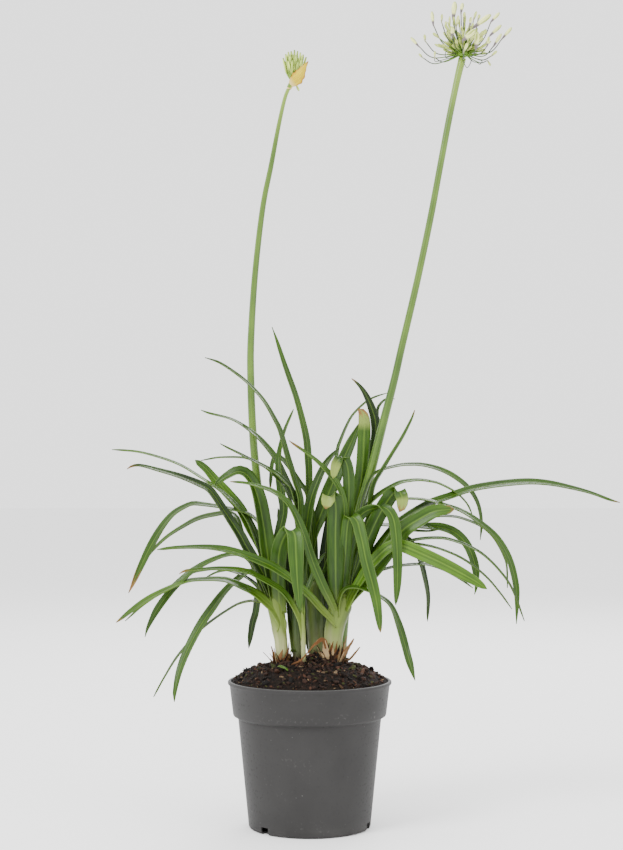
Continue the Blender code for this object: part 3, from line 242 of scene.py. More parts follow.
SMALL_LEAVES = (
    Leaf("thin_arch", 8,
         ((303, 640), (302, 632), (300, 622), (297, 614), (293, 606), (288, 598), (282, 591), (275, 586),
          (266, 581), (258, 577), (250, 573), (240, 570.5), (230, 569.5), (215, 569), (195, 570),
          (185, 570.7), (179, 574)),
         (-20, -22, -26, -30, -34, -40), (4, 4, 5, 5, 4, 3, 2, 1.5), -1, 1, 0.13, 0, 0.5, tone=0.55,
         dry=0.045),
    Leaf("short_right", 6,
         ((303, 628), (303, 600), (307, 590), (312, 578), (318, 563), (326, 552)),
         (-19, -16, -12, -9), (4, 5, 5, 4, 3), 1, tone=0.40),
)

BACK_LEAVES = (
    Leaf("tall_upright", 8,
         ((313, 600), (310, 560), (309, 520), (308.7, 475), (308, 460), (306.3, 440), (302, 420),
          (296.7, 400), (293.5, 390), (286.5, 370), (280, 350), (276, 338), (272, 327)),
         (20, 18, 16, 14, 14), (6, 7, 7, 7, 6, 5, 3), -1, tone=0.46),
    Leaf("long_left", 10,
         ((312, 602), (308, 550), (304, 520), (297, 503), (290, 490), (284, 478), (278, 465), (274, 457),
          (268, 449), (262, 442), (256, 436), (243, 426), (230, 419), (210, 413.5), (201, 410)),
         (20, 18, 15, 13, 13, 18, 26), (7, 8, 8, 7, 5, 2, 1.5), -1, tone=0.45),
    Leaf("knee", 8,
         ((315, 600), (314, 540), (308, 497), (300, 484), (295, 476), (288, 466), (282, 459), (277, 456),
          (273, 461), (271, 475), (270, 492)),
         (22, 20, 18, 17, 19, 23, 26), (6, 6, 6, 5, 4, 4, 3), -1, tone=0.42, dry=0.02),
    Leaf("broad_right", 15,
         ((311, 602), (308, 570), (312, 537), (320, 517), (330, 490), (343, 460), (352, 440), (360, 422)),
         (22, 23, 25, 27, 29), (9, 10, 12, 14, 14, 11, 6), 1, tone=0.50),
    Leaf("back_fold", 14,
         ((318, 600), (332, 560), (346, 530), (356, 505), (361, 480), (363, 460), (364, 440),
          (364.5, 424), (363, 414), (358, 409)),
         (22, 22, 22, 20, 19, 20), (8, 9, 11, 13, 13, 13, 10), 1, -1, 0.13, 0.7, tone=0.56, dry=0.03,
         folded=True),
    Leaf("bent_dark", 10,
         ((319, 602), (338, 560), (356, 520), (368, 480), (374, 450), (376, 432), (375, 419), (372, 409),
          (368, 399), (363, 390), (357, 383), (351.5, 378.5)),
         (25, 30, 33, 32, 30), (7, 8, 9, 10, 10, 9, 4), -1, -1, tone=0.14, dry=0.012),
    Leaf("short_back", 7,
         ((320, 602), (345, 550), (362, 500), (372, 450), (377, 420), (378, 408), (383, 401), (388, 398),
          (395, 399)),
         (27, 36, 42, 42, 42), (4, 4, 5, 4, 3, 2), 1, tone=0.35),
    Leaf("thin_back", 6,
         ((317, 602), (325, 540), (332, 490), (338, 450), (340, 443), (346, 428), (353, 415), (366, 402),
          (376, 396.5), (387, 393)),
         (25, 32, 37, 42, 50), (3, 3, 3, 3, 2, 1), 1, tone=0.38),
)

RIGHT_LEAVES = (
    Leaf("cross_left", 9,
         ((337, 618), (333, 606), (324, 588), (313, 562), (302, 530), (290, 506), (275, 493), (260, 487),
          (245, 483), (230, 481.5)),
         (-9, -22, -28, -29, -31, -36, -38), (7, 9, 9, 8, 5, 2.5, 1.5), -1, tone=0.52, dry=0.012),
    Leaf("brown_tip", 8,
         ((342, 602), (347, 560), (345, 530), (344, 505), (341, 492), (337, 484), (331, 476), (325, 469),
          (313, 458), (300, 448.5), (289, 440.5)),
         (-6, -10, -13, -15, -16, -16), (7, 8, 8, 7, 6, 5, 3, 1.5), -1, tone=0.58, dry=0.05),
    Leaf("low_left", 11,
         ((337, 626), (330, 618), (322, 610), (313, 600), (305, 592), (290, 579), (280, 572), (270, 566),
          (250, 557.5), (230, 551), (215, 548.5), (200, 547.6), (175, 548), (157, 549.5)),
         (-10, -27, -30, -31, -36, -42, -48), (5, 6, 6, 7, 7, 6, 4, 3, 1.5), -1, 1, 0.13, 0, 0.6,
         tone=0.50),
    Leaf("tongue", 12,
         ((342, 602), (345, 560), (348, 520), (349, 490), (348, 470), (344, 458.5), (338, 460),
          (335, 468), (333, 479)),
         (-4, -5, -6, -8, -10, -16, -21, -22), (), 0, 1, 0.10, 0.9, tone=0.46, folded=True),
    Leaf("front_broad", 17,
         ((338, 610), (336, 590), (335.5, 560), (335.5, 530), (336, 510), (334, 497.5), (329, 497),
          (325.5, 509)),
         (-9, -15, -20, -22, -23, -25, -33, -37), (), 0, 1, 0.10, 0.9, 0.5, tone=0.44, dry=0.012,
         folded=True),
    Leaf("front_hang", 12,
         ((341, 602), (345, 560), (347, 530), (350, 517), (357, 521), (360, 532), (363, 545), (366, 560),
          (370, 575), (374, 590), (377, 605), (380.5, 632.5)),
         (-6, -13, -22, -34, -44, -52, -57, -60), (), 0, 1, 0.13, 0.4, tone=0.50, dry=0.012),
    Leaf("right_hang", 11,
         ((345, 602), (347, 575), (350, 550), (355, 525), (363, 513), (375, 508), (386, 508.5),
          (393, 518), (396, 535), (397.5, 560), (397.3, 585), (395.7, 605)),
         (-4, -8, -14, -22, -32, -38, -41, -42), (), 0, 1, 0.13, 0.4, tone=0.48),
    Leaf("orange_tip", 15,
         ((346, 602), (352, 580), (362, 555), (372, 530), (382, 510), (392, 494.5), (398, 491),
          (402, 497), (402, 505), (399.5, 512)),
         (-5, -6, -8, -10, -13, -22, -26), (), 0, 1, 0.12, 0.8, tone=0.46, dry=0.022, folded=True),
    Leaf("right_broad", 17,
         ((346, 606), (352, 596), (365, 580), (380, 560), (392, 545), (403, 530), (418, 520), (433, 512),
          (445, 510), (454, 509.5)),
         (-10, -14, -18, -20, -24), (9, 14, 17, 17, 16, 14, 7), 1, 1, 0.13, 0.5, tone=0.58, dry=0.015),
    Leaf("long_right", 12,
         ((346, 604), (358, 580), (375, 552), (390, 532), (400, 522), (415, 512), (432, 503), (450, 497),
          (470, 490), (490, 486), (510, 483.5), (530, 482.3), (550, 484), (570, 488), (590, 493),
          (610, 499.8), (620, 502.5)),
         (-5, -5, -2, 6, 18, 32, 46), (6, 6, 6, 5, 6, 6.5, 6, 5, 3, 2), 1, tone=0.46, dry=0.012),
    Leaf("loop_right", 9,
         ((345, 600), (352, 560), (362, 510), (368, 487), (374, 475), (383, 470), (400, 465.8),
          (410, 465), (420, 465.2), (430, 467), (440, 470), (450, 474.5), (460, 481), (467, 487),
          (472, 493), (477, 502), (480, 512), (481.5, 525), (480.3, 540)),
         (-4, -4, -3, 6, 18, 26, 30), (4, 3, 2, 1.5, 2, 3, 5, 4, 1.5), 1, tone=0.40),
    Leaf("mid_right", 10,
         ((346, 600), (352, 560), (360, 522), (368, 506), (378, 496), (388, 489.5), (400, 483.5),
          (410, 481.5), (420, 480.8), (430, 482), (440, 484.5), (456, 493), (467, 504), (472, 514)),
         (-2, -2, 0, 3, 8, 10), (6, 6, 6, 4, 3, 2, 1.5, 1), 1, tone=0.52),
    Leaf("far_droop", 10,
         ((347, 602), (356, 560), (368, 520), (383, 503), (393, 500.5), (405, 499.5), (420, 499.8),
          (432, 502), (450, 507), (465, 513.5), (480, 523.5), (492, 533.5), (500, 543), (507, 555),
          (512, 568), (515.5, 582), (517, 597), (516.5, 624)),
         (-4, -5, 0, -4, -16, -28, -36), (4, 3, 2, 1.5, 2, 4, 6, 6.5, 4), 1, tone=0.44),
    Leaf("thin_droop", 6,
         ((347, 604), (365, 575), (385, 550), (410, 528), (425, 519), (440, 516.5), (455, 517),
          (465, 519.7), (475, 523.5), (484, 528.5), (492, 536), (498, 545), (503, 555), (506.5, 566),
          (507.5, 588)),
         (-5, -4, -2, 6, 14, 18), (3, 2, 2, 2, 2, 1), 1, tone=0.36),
    Leaf("wide_droop", 12,
         ((345, 604), (350, 570), (355, 540), (363, 527), (375, 525.5), (392, 526), (410, 526.5),
          (428, 527), (443, 528.3), (457, 534.5), (468, 547), (475, 565), (476.5, 585), (474.5, 594.5)),
         (-4, -3, -1, 0, -6, -14, -20), (5, 4, 2, 2, 3, 6, 9, 8, 5), 1, tone=0.50),
    Leaf("short_right", 6,
         ((346, 604), (370, 565), (390, 538), (402, 530), (415, 531), (428, 531.3), (436, 530),
          (441, 528.5)),
         (-6, -9, -8, -6), (3, 2, 2, 2, 1), 1, tone=0.40),
    Leaf("near_thin", 6,
         ((347, 606), (365, 580), (385, 558), (402, 544), (420, 539.3), (438, 538.3), (450, 540),
          (468, 546.5), (483, 555), (499, 570.5), (512, 589), (524.5, 621)),
         (-8, -10, -20, -32, -40, -50), (2, 2, 2, 2, 1.2), 1, tone=0.36),
    Leaf("near_thread", 5,
         ((347, 608), (368, 582), (388, 557), (405, 545), (425, 545.5), (445, 551), (465, 560.5),
          (485, 576), (500, 593), (512, 609)),
         (-8, -12, -26, -36, -44), (2, 2, 1.5, 1), 1, tone=0.36),
    Leaf("bright_low", 13,
         ((345, 610), (355, 590), (370, 566), (385, 550), (395, 545), (404, 546.5), (420, 553),
          (440, 562), (460, 572.5), (475, 581), (487, 589)),
         (-11, -20, -28, -38, -50, -60), (7, 8, 10, 12, 13, 11, 7), 1, 1, 0.13, 0.4, tone=0.74),
    Leaf("hang_dark", 9,
         ((345, 606), (365, 575), (385, 549), (399, 539), (407, 539), (413, 546), (417, 555), (421, 564),
          (426.5, 587), (428, 600), (427.5, 621.5)),
         (-7, -8, -8, -6, -2, 2), (5, 4, 4, 4, 5, 5, 4, 2), 1, tone=0.16),
    Leaf("thin_low", 6,
         ((346, 608), (358, 587), (372, 574.5), (385, 569.5), (400, 566), (420, 564.5), (430, 565.5),
          (445, 571), (462, 580.5), (473, 588)),
         (-9, -12, -12, -8, -4), (2, 2, 2, 1.5, 1), 1, tone=0.42),
    Leaf("lowest_right", 10,
         ((338, 616), (339, 603), (344, 591), (352, 588), (365, 590.5), (381, 598), (391, 607),
          (398.5, 625), (405.5, 648), (409, 660), (415, 680.5)),
         (-10, -20, -28, -36, -46, -56, -66), (4, 2, 2, 3, 5, 7, 7, 4), 1, tone=0.44),
    Leaf("high_right", 8,
         ((347, 600), (358, 570), (366, 540), (369, 520), (371, 500), (375, 483), (383, 469.5),
          (393, 453), (403, 436.5), (411, 420), (414.7, 410)),
         (-2, 0, 0, -2, -4, -6), (6, 6, 5, 5, 4, 3, 1.5), 1, -1, tone=0.50, dry=0.015),
)

# Inner leaf bases that fill the heart of the clump, behind the leaves of the tables; they stay dark green
# with a faint pale foot, as painted shade
HEART_LEAVES = {
    "shoot_centre": (
        Leaf("heart_a", 11,
             ((294, 652), (291, 625), (288, 590), (284, 550), (278, 508)),
             (-6, 6, 14, 20, 24), (6, 7, 8, 7, 4), -1, inner=True),
        Leaf("heart_b", 11,
             ((296, 652), (297, 620), (299, 580), (300, 540), (301, 500)),
             (-4, 8, 14, 18, 20), (), 0, inner=True),
    ),
    "shoot_back": (
        Leaf("heart_c", 12,
             ((312, 652), (307, 620), (304, 585), (306, 545), (311, 500)),
             (26, 24, 24, 24, 26), (), 0, inner=True),
        Leaf("heart_d", 12,
             ((318, 652), (321, 620), (323, 585), (326, 545), (330, 505)),
             (24, 20, 20, 22, 24), (), 0, inner=True),
        Leaf("heart_e", 10,
             ((322, 652), (326, 625), (331, 590), (334, 550), (338, 510)),
             (22, 16, 14, 16, 18), (), 0, inner=True),
    ),
}

SHOOTS = (
    Shoot("shoot_left", (282, -4), (6.6, 6.2),
          ((640, 281, 6.8, 6.2, -4), (622, 278, 8.0, 6.4, -4), (606, 275.5, 9.0, 6.4, -4),
           (597, 275, 7.0, 5.0, -4)), LEFT_LEAVES),
    Shoot("shoot_centre", (297, 0), (4.6, 4.4),
          ((640, 296.5, 4.6, 4.4, 0), (620, 296, 4.8, 4.4, 0), (604, 297.5, 5.6, 4.2, -1),
           (594, 298, 4.0, 3.2, -1)), CENTRE_LEAVES),
    Shoot("shoot_small", (303.5, -20), (2.5, 2.5),
          ((645, 303.5, 2.5, 2.5, -20), (630, 303, 2.6, 2.5, -20), (616, 302, 2.2, 2.2, -20)),
           SMALL_LEAVES),
    Shoot("shoot_back", (316, 20), (8.2, 6.4),
          ((640, 316, 8.4, 6.4, 20), (620, 315, 9.4, 6.4, 20), (596, 314.5, 9.8, 6.2, 21),
           (584, 315, 7.5, 5.0, 21)), BACK_LEAVES),
    Shoot("shoot_right", (334, -4), (9.2, 7.0),
          ((640, 333.5, 9.4, 7.2, -4), (625, 335, 10.6, 7.6, -5), (608, 340, 12.0, 7.6, -6),
           (597, 342.5, 9.5, 6.0, -6)), RIGHT_LEAVES),
)

# Flower stalks: foot place, foot radius, then (column, row, depth mm, radius mm) upwards
LEFT_STALK = ((284, 28), 4.3,
              ((283, 640, 29, 4.3), (277, 600, 33, 4.3), (264, 530, 34, 4.3), (256, 470, 34, 4.2),
               (252.7, 430, 34, 4.1), (250.8, 380, 33, 3.9), (250.9, 341, 32, 3.7), (255, 275, 28, 3.3),
               (262.7, 208, 22, 3.0), (271, 166, 16, 2.7), (279, 124, 8, 2.2), (285.5, 96, 3, 1.9),
               (291.0, 84.2, 1, 2.0)))
RIGHT_STALK = ((342, 22), 5.0,
               ((342.5, 640, 22, 5.0), (346, 600, 20, 5.2), (353, 550, 16, 5.2), (360, 510, 14, 5.1),
                (370, 475, 14, 4.9), (384, 420, 11, 4.4), (394.3, 380, 9, 4.0), (402, 346, 7, 3.8),
                (417, 282, 4, 3.6), (430.5, 218, 2, 3.5), (439.5, 170, 0, 3.4), (448.5, 122, 0, 3.4),
                (455, 90, 0, 3.4), (458.5, 74, 0, 3.6), (462.3, 58.45, 0, 4.0)))

# Open head: the knob, then buds as (tip column, row), (base column, row), depths of tip and base, fatness
KNOB = (463, 54, 0)
OUTER_BUDS = (
    (454.9, 1.5, 453.2, 19, -6, -4, 2.9), (462.7, 3, 461, 12.5, 6, 5, 2.0),
    (431.8, 11.5, 433.3, 25, 4, 3, 1.9), (442, 14, 441.5, 22, -12, -10, 1.3),
    (445.8, 21.4, 446, 27, 12, 10, 1.3), (410.7, 37.5, 418.4, 46, 2, 2, 1.7),
    (424.5, 34.4, 425, 41, -14, -13, 1.5), (419, 53.6, 422.2, 57.4, 14, 13, 1.3),
    (435, 51, 434.6, 57.6, -24, -22, 1.1), (499.5, 12.6, 491, 21.8, 6, 5, 1.9),
    (501.4, 25, 490, 35.6, -6, -5, 2.0), (511.7, 27.5, 502.5, 38.3, 3, 3, 1.9),
    (501.4, 33.7, 493.7, 46, 14, 12, 1.9), (497, 51, 491.4, 56, -10, -9, 1.5),
    (490.7, 65.8, 487.5, 60.5, 10, 9, 1.1), (491, 14.5, 473.5, 27.5, -22, -16, 2.9),
    (475.7, 29.5, 462.7, 40.5, -46, -40, 2.9), (479.6, 14.5, 478, 20, 20, 18, 1.6),
    (476.5, 11.5, 473.5, 20, 10, 8, 1.5), (464.7, 12, 463.5, 19, -18, -16, 1.6),
    (489, 36.5, 487.2, 46, -24, -21, 1.7), (477.5, 31.5, 476, 49, -38, -34, 2.7),
    (467.7, 42.8, 463.6, 52, -48, -44, 1.6), (471, 17, 470, 25, -28, -25, 1.7),
    (458.5, 15.5, 456, 27, -26, -22, 1.6), (452, 26.5, 452.5, 35.5, -34, -30, 2.4),
    (449.8, 16.5, 449.6, 27, 20, 17, 1.3),
)

# Open head: stalklets that droop in a loop, as (column, row, depth)
LOOPS = (
    ((462, 57, -3), (464, 63, -6), (467, 67.6, -8), (470, 64, -8), (471, 60, -6), (468, 57, -3)),
    ((468, 57, -3), (473, 61.5, -6), (477, 62.5, -8), (480, 64.2, -9), (482, 61, -8), (478, 59.5, -6),
     (472, 57, -3)),
    ((457, 56, -3), (450, 56.5, -6), (445.6, 57.5, -8), (445.8, 51.5, -8), (448, 52.5, -6),
     (456, 54, -3)),
    ((458, 56, -3), (446, 59, -8), (436, 61.5, -10), (434.6, 58.5, -10), (435.4, 52, -10)),
)

# Half-open head: the knob, then its buds' tips as (column, row, depth mm)
BUNCH = (292.4, 81.0, 0)
BUNCH_TIPS = (
    (283.2, 58, 0), (285.6, 54.2, -5), (288.4, 52.0, -2), (291.2, 51.3, 3), (294.5, 50.0, -3),
    (297.6, 51.2, 2), (300.4, 52.6, -4), (303.2, 54.6, 1), (306.2, 57.2, 4), (284.6, 61.5, 5),
    (286.9, 57.2, 7), (290.0, 55.6, -8), (293.0, 54.8, 8), (296.3, 55.6, -9), (299.4, 56.6, 8),
    (302.4, 59.0, -7), (305.0, 61.5, 8), (288.2, 61.0, -10), (292.6, 60.2, -11), (298.6, 61.6, -11),
)


# Geometry helpers

def sight(px: float, py: float, depth_mm: float) -> Vector:
    """The point seen at a picture place, at a depth behind the pot's axis in millimetres.

    Args:
        px: column in the picture.
        py: row in the picture.
        depth_mm: depth behind the pot's axis.
    Returns:
        The point in metres.
    """
    reach = (EYE_BACK + depth_mm * MM) / FOCAL
    return Vector(((px - AXIS_PX) * reach, depth_mm * MM, EYE_UP + (LEVEL_PY - py) * reach))


def curve_through(points: Sequence, per_span: int = 10) -> np.ndarray:
    """Catmull-Rom points through the given ones.

    Args:
        points: the points to pass.
        per_span: new points for each span.
    Returns:
        Rows of points.
    """
    pts = [np.asarray(p, float) for p in points]
    pts = [2 * pts[0] - pts[1]] + pts + [2 * pts[-1] - pts[-2]]
    out = []
    for i in range(1, len(pts) - 2):
        p0, p1, p2, p3 = pts[i - 1:i + 3]
        for k in range(per_span):
            t = k / per_span
            out.append(0.5 * (2 * p1 + (p2 - p0) * t + (2 * p0 - 5 * p1 + 4 * p2 - p3) * t * t
                              + (3 * p1 - p0 - 3 * p2 + p3) * t ** 3))
    out.append(pts[-2])
    return np.array(out)


def spread(values: Sequence[float], share: np.ndarray) -> np.ndarray:
    """Values spread evenly along the length, read at each share of it."""
    return np.interp(share, np.linspace(0, 1, len(values)), values)


def smooth(rows: np.ndarray, width: int) -> np.ndarray:
    """A moving average that keeps the ends.

    Args:
        rows: values or rows of them.
        width: rows taken on each side.
    Returns:
        The averaged rows.
    """
    rows = np.asarray(rows, float)
    flat = rows.reshape(len(rows), -1)
    pad = np.vstack([np.repeat(flat[:1], width, 0), flat, np.repeat(flat[-1:], width, 0)])
    kernel = np.ones(2 * width + 1) / (2 * width + 1)
    out = np.column_stack([np.convolve(pad[:, c], kernel, "valid") for c in range(flat.shape[1])])
    return out.reshape(rows.shape)


def unit(rows: np.ndarray) -> np.ndarray:
    """Rows scaled to length 1."""
    return rows / np.maximum(np.linalg.norm(rows, axis=1, keepdims=True), 1e-9)


def run_along(points: np.ndarray) -> np.ndarray:
    """Distance run from the first point to each one."""
    return np.concatenate([[0], np.cumsum(np.linalg.norm(np.diff(points, axis=0), axis=1))])


def at_rows(rows: np.ndarray, where: np.ndarray) -> np.ndarray:
    """Rows read at fractional places from 0 to 1.

    Args:
        rows: evenly spread rows.
        where: places from 0 to 1.
    Returns:
        One row for each place.
    """
    spot = np.asarray(where) * (len(rows) - 1)
    return np.column_stack([np.interp(spot, np.arange(len(rows)), rows[:, c]) for c in range(rows.shape[1])])


class Cloth:
    """A bmesh that collects bent grids, each with its own attributes."""

    FIELDS = ("along", "across", "tone", "dry", "pale")

    def __init__(self) -> None:
        self.mesh = bmesh.new()
        self.layers = {name: self.mesh.verts.layers.float.new(name) for name in self.FIELDS}

    def grid(self, columns: int, rows: int, place: Callable, closed: bool = False) -> list:
        """Add a grid bent by a function of (u, v) arrays.

        Args:
            columns: faces across, u from 0 to 1.
            rows: faces along, v from 0 to 1.
            place: gives the points and a dict of attribute arrays.
            closed: weld u = 0 to u = 1 and cap both ends.
        Returns:
            The vertices.
        """
        made = bmesh.ops.create_grid(self.mesh, x_segments=columns, y_segments=rows, size=0.5)["verts"]
        spots = np.array([(v.co.x + 0.5, v.co.y + 0.5) for v in made])
        points, facts = place(spots[:, 0], spots[:, 1])
        for vert, point in zip(made, points):
            vert.co = point
        for name, values in facts.items():
            layer = self.layers[name]
            values = np.broadcast_to(values, (len(made),))
            for vert, value in zip(made, values):
                vert[layer] = float(value)
        if closed:
            seam = [v for v, s in zip(made, spots) if s[0] < 1e-4 or s[0] > 1 - 1e-4]
            bmesh.ops.remove_doubles(self.mesh, verts=seam, dist=1e-6)
            made = [v for v in made if v.is_valid]
            rim = {e for v in made for e in v.link_edges if len(e.link_faces) == 1}
            bmesh.ops.holes_fill(self.mesh, edges=list(rim), sides=0)
        return made

    def tube(self, spine: np.ndarray, radii: np.ndarray, sides: int, rows: int, facts: Callable,
             ribs: tuple = (0, 0.0), flat: float = 1.0) -> None:
        """Add a closed round tube along a spine.

        Args:
            spine: points, evenly spread.
            radii: radii, evenly spread.
            sides: faces round.
            rows: faces along.
            facts: gives a dict of attribute arrays from (u, v).
            ribs: number and depth share of lengthwise ribs.
            flat: depth as a share of the width.
        """
        along = unit(np.gradient(spine, axis=0))
        hint = np.array([0.0, 1.0, 0.0]) if abs(along[0][1]) < 0.8 else np.array([1.0, 0.0, 0.0])
        sides_u = []
        for t in along:
            hint = hint - t * hint.dot(t)
            hint = hint / np.linalg.norm(hint)
            sides_u.append(hint)
        sides_u = np.array(sides_u)
        sides_v = np.cross(along, sides_u)

        def place(u: np.ndarray, v: np.ndarray) -> tuple:
            """Bend the grid round the spine."""
            turn = 2 * math.pi * u
            size = spread(radii, v)
            size = size * (1 + ribs[1] * np.cos(turn * ribs[0])) if ribs[0] else size
            centre, a, b = at_rows(spine, v), at_rows(sides_u, v), at_rows(sides_v, v)
            points = centre + (a * (np.cos(turn) * flat)[:, None] + b * np.sin(turn)[:, None]) * size[:, None]
            return points, facts(u, v)

        self.grid(sides, rows, place, closed=True)

    def finish(self, name: str, materials: Iterable, thickness: float = 0.0) -> bpy.types.Object:
        """Turn the collected grids into an object.

        Args:
            name: the piece's name.
            materials: its materials.
            thickness: wall given to open sheets, in metres.
        Returns:
            The object.
        """
        data = bpy.data.meshes.new(name)
        self.mesh.to_mesh(data)
        self.mesh.free()
        piece = bpy.data.objects.new(name, data)
        bpy.context.scene.collection.objects.link(piece)
        for material in materials:
            data.materials.append(material)
        data.polygons.foreach_set("use_smooth", [True] * len(data.polygons))
        if thickness:
            shell = piece.modifiers.new("thickness", "SOLIDIFY")
            shell.thickness = thickness
            shell.offset = 0.0
        return piece


# Shaders

class Wire:
    """A shader socket. Arithmetic on wires adds Math nodes.

    Args:
        tree: the material's node tree.
        socket: an output socket in it.
    """

    def __init__(self, tree: bpy.types.NodeTree, socket: bpy.types.NodeSocket) -> None:
        self.tree = tree
        self.socket = socket

    def _math(self, kind: str, *others: "Wire | float") -> "Wire":
        """Add a Math node that this wire and the others feed.

        Args:
            kind: the node's operation.
            others: its further inputs.
        Returns:
            The node's output.
        """
        node = self.tree.nodes.new("ShaderNodeMath")
        node.operation = kind
        self.tree.links.new(self.socket, node.inputs[0])
        for slot, other in enumerate(others, 1):
            if isinstance(other, Wire):
                self.tree.links.new(other.socket, node.inputs[slot])
            else:
                node.inputs[slot].default_value = other
        return Wire(self.tree, node.outputs[0])

    def __add__(self, other: "Wire | float") -> "Wire":
        """This wire plus the other."""
        return self._math("ADD", other)

    def __sub__(self, other: "Wire | float") -> "Wire":
        """This wire minus the other."""
        return self._math("SUBTRACT", other)

    def __mul__(self, other: "Wire | float") -> "Wire":
        """This wire times the other."""
        return self._math("MULTIPLY", other)

    def __abs__(self) -> "Wire":
        """This wire without its sign."""
        return self._math("ABSOLUTE")

    def step(self, low: float, high: float) -> "Wire":
        """A smooth step from 0 at low to 1 at high.

        Args:
            low: value where the step starts.
            high: value where it ends, under low for a falling step.
        Returns:
            A wire from 0 to 1.
        """
        node = self.tree.nodes.new("ShaderNodeMapRange")
        node.interpolation_type = "SMOOTHSTEP"
        flip = low > high
        node.inputs["From Min"].default_value = min(low, high)
        node.inputs["From Max"].default_value = max(low, high)
        node.inputs["To Min"].default_value = 1.0 if flip else 0.0
        node.inputs["To Max"].default_value = 0.0 if flip else 1.0
        self.tree.links.new(self.socket, node.inputs["Value"])
        return Wire(self.tree, node.outputs[0])

    def blend(self, low: "Wire | tuple", high: "Wire | tuple") -> "Wire":
        """This wire as the factor between two colours.

        Args:
            low: colour at 0.
            high: colour at 1.
        Returns:
            The mixed colour.
        """
        node = self.tree.nodes.new("ShaderNodeMix")
        node.data_type = "RGBA"
        self.tree.links.new(self.socket, node.inputs[0])
        for slot, colour in ((6, low), (7, high)):
            if isinstance(colour, Wire):
                self.tree.links.new(colour.socket, node.inputs[slot])
            else:
                node.inputs[slot].default_value = (*colour, 1.0)
        return Wire(self.tree, node.outputs[2])


class Paint:
    """One procedural material.

    Args:
        name: the material's name.
        rough: constant roughness.
        gloss: constant specular level.
    """

    def __init__(self, name: str, rough: float = 0.5, gloss: float = 0.5) -> None:
        self.material = bpy.data.materials.new(name)
        self.material.use_nodes = True
        self.tree = self.material.node_tree
        self.shader = self.tree.nodes["Principled BSDF"]
        self.shader.inputs["Roughness"].default_value = rough
        self.shader.inputs["Specular IOR Level"].default_value = gloss

    def fact(self, name: str) -> Wire:
        """A vertex attribute."""
        node = self.tree.nodes.new("ShaderNodeAttribute")
        node.attribute_name = name
        return Wire(self.tree, node.outputs["Fac"])

    def spot(self) -> Wire:
        """Object coordinates."""
        node = self.tree.nodes.new("ShaderNodeTexCoord")
        return Wire(self.tree, node.outputs["Object"])

    def height(self) -> Wire:
        """Height above the floor."""
        node = self.tree.nodes.new("ShaderNodeSeparateXYZ")
        self.tree.links.new(self.spot().socket, node.inputs[0])
        return Wire(self.tree, node.outputs["Z"])

    def join(self, x: Wire | float, y: Wire | float, z: Wire | float) -> Wire:
        """A vector made of three wires or numbers.

        Args:
            x: first part.
            y: second part.
            z: third part.
        Returns:
            The vector.
        """
        node = self.tree.nodes.new("ShaderNodeCombineXYZ")
        for slot, value in enumerate((x, y, z)):
            if isinstance(value, Wire):
                self.tree.links.new(value.socket, node.inputs[slot])
            else:
                node.inputs[slot].default_value = value
        return Wire(self.tree, node.outputs[0])

    def noise(self, scale: float, detail: float = 2.0, where: Wire | None = None, rough: float = 0.5) -> Wire:
        """Noise from 0 to 1.

        Args:
            scale: how fine it is.
            detail: how many finer layers it has.
            where: the vector that it reads, or none for Object coordinates.
            rough: strength of the finer layers.
        Returns:
            The noise.
        """
        node = self.tree.nodes.new("ShaderNodeTexNoise")
        node.inputs["Scale"].default_value = scale
        node.inputs["Detail"].default_value = detail
        node.inputs["Roughness"].default_value = rough
        self.tree.links.new((where or self.spot()).socket, node.inputs["Vector"])
        return Wire(self.tree, node.outputs[0])

    def colour(self, wire: Wire) -> None:
        """Drive the base colour."""
        self.tree.links.new(wire.socket, self.shader.inputs["Base Color"])

    def roughness(self, wire: Wire) -> None:
        """Drive the roughness."""
        self.tree.links.new(wire.socket, self.shader.inputs["Roughness"])

    def bump(self, wire: Wire, strength: float, distance: float) -> None:
        """Feed a bump to the normal.

        Args:
            wire: the height.
            strength: strength from 0 to 1.
            distance: height of the bumps in metres.
        """
        node = self.tree.nodes.new("ShaderNodeBump")
        node.inputs["Strength"].default_value = strength
        node.inputs["Distance"].default_value = distance
        self.tree.links.new(wire.socket, node.inputs["Height"])
        self.tree.links.new(node.outputs[0], self.shader.inputs["Normal"])


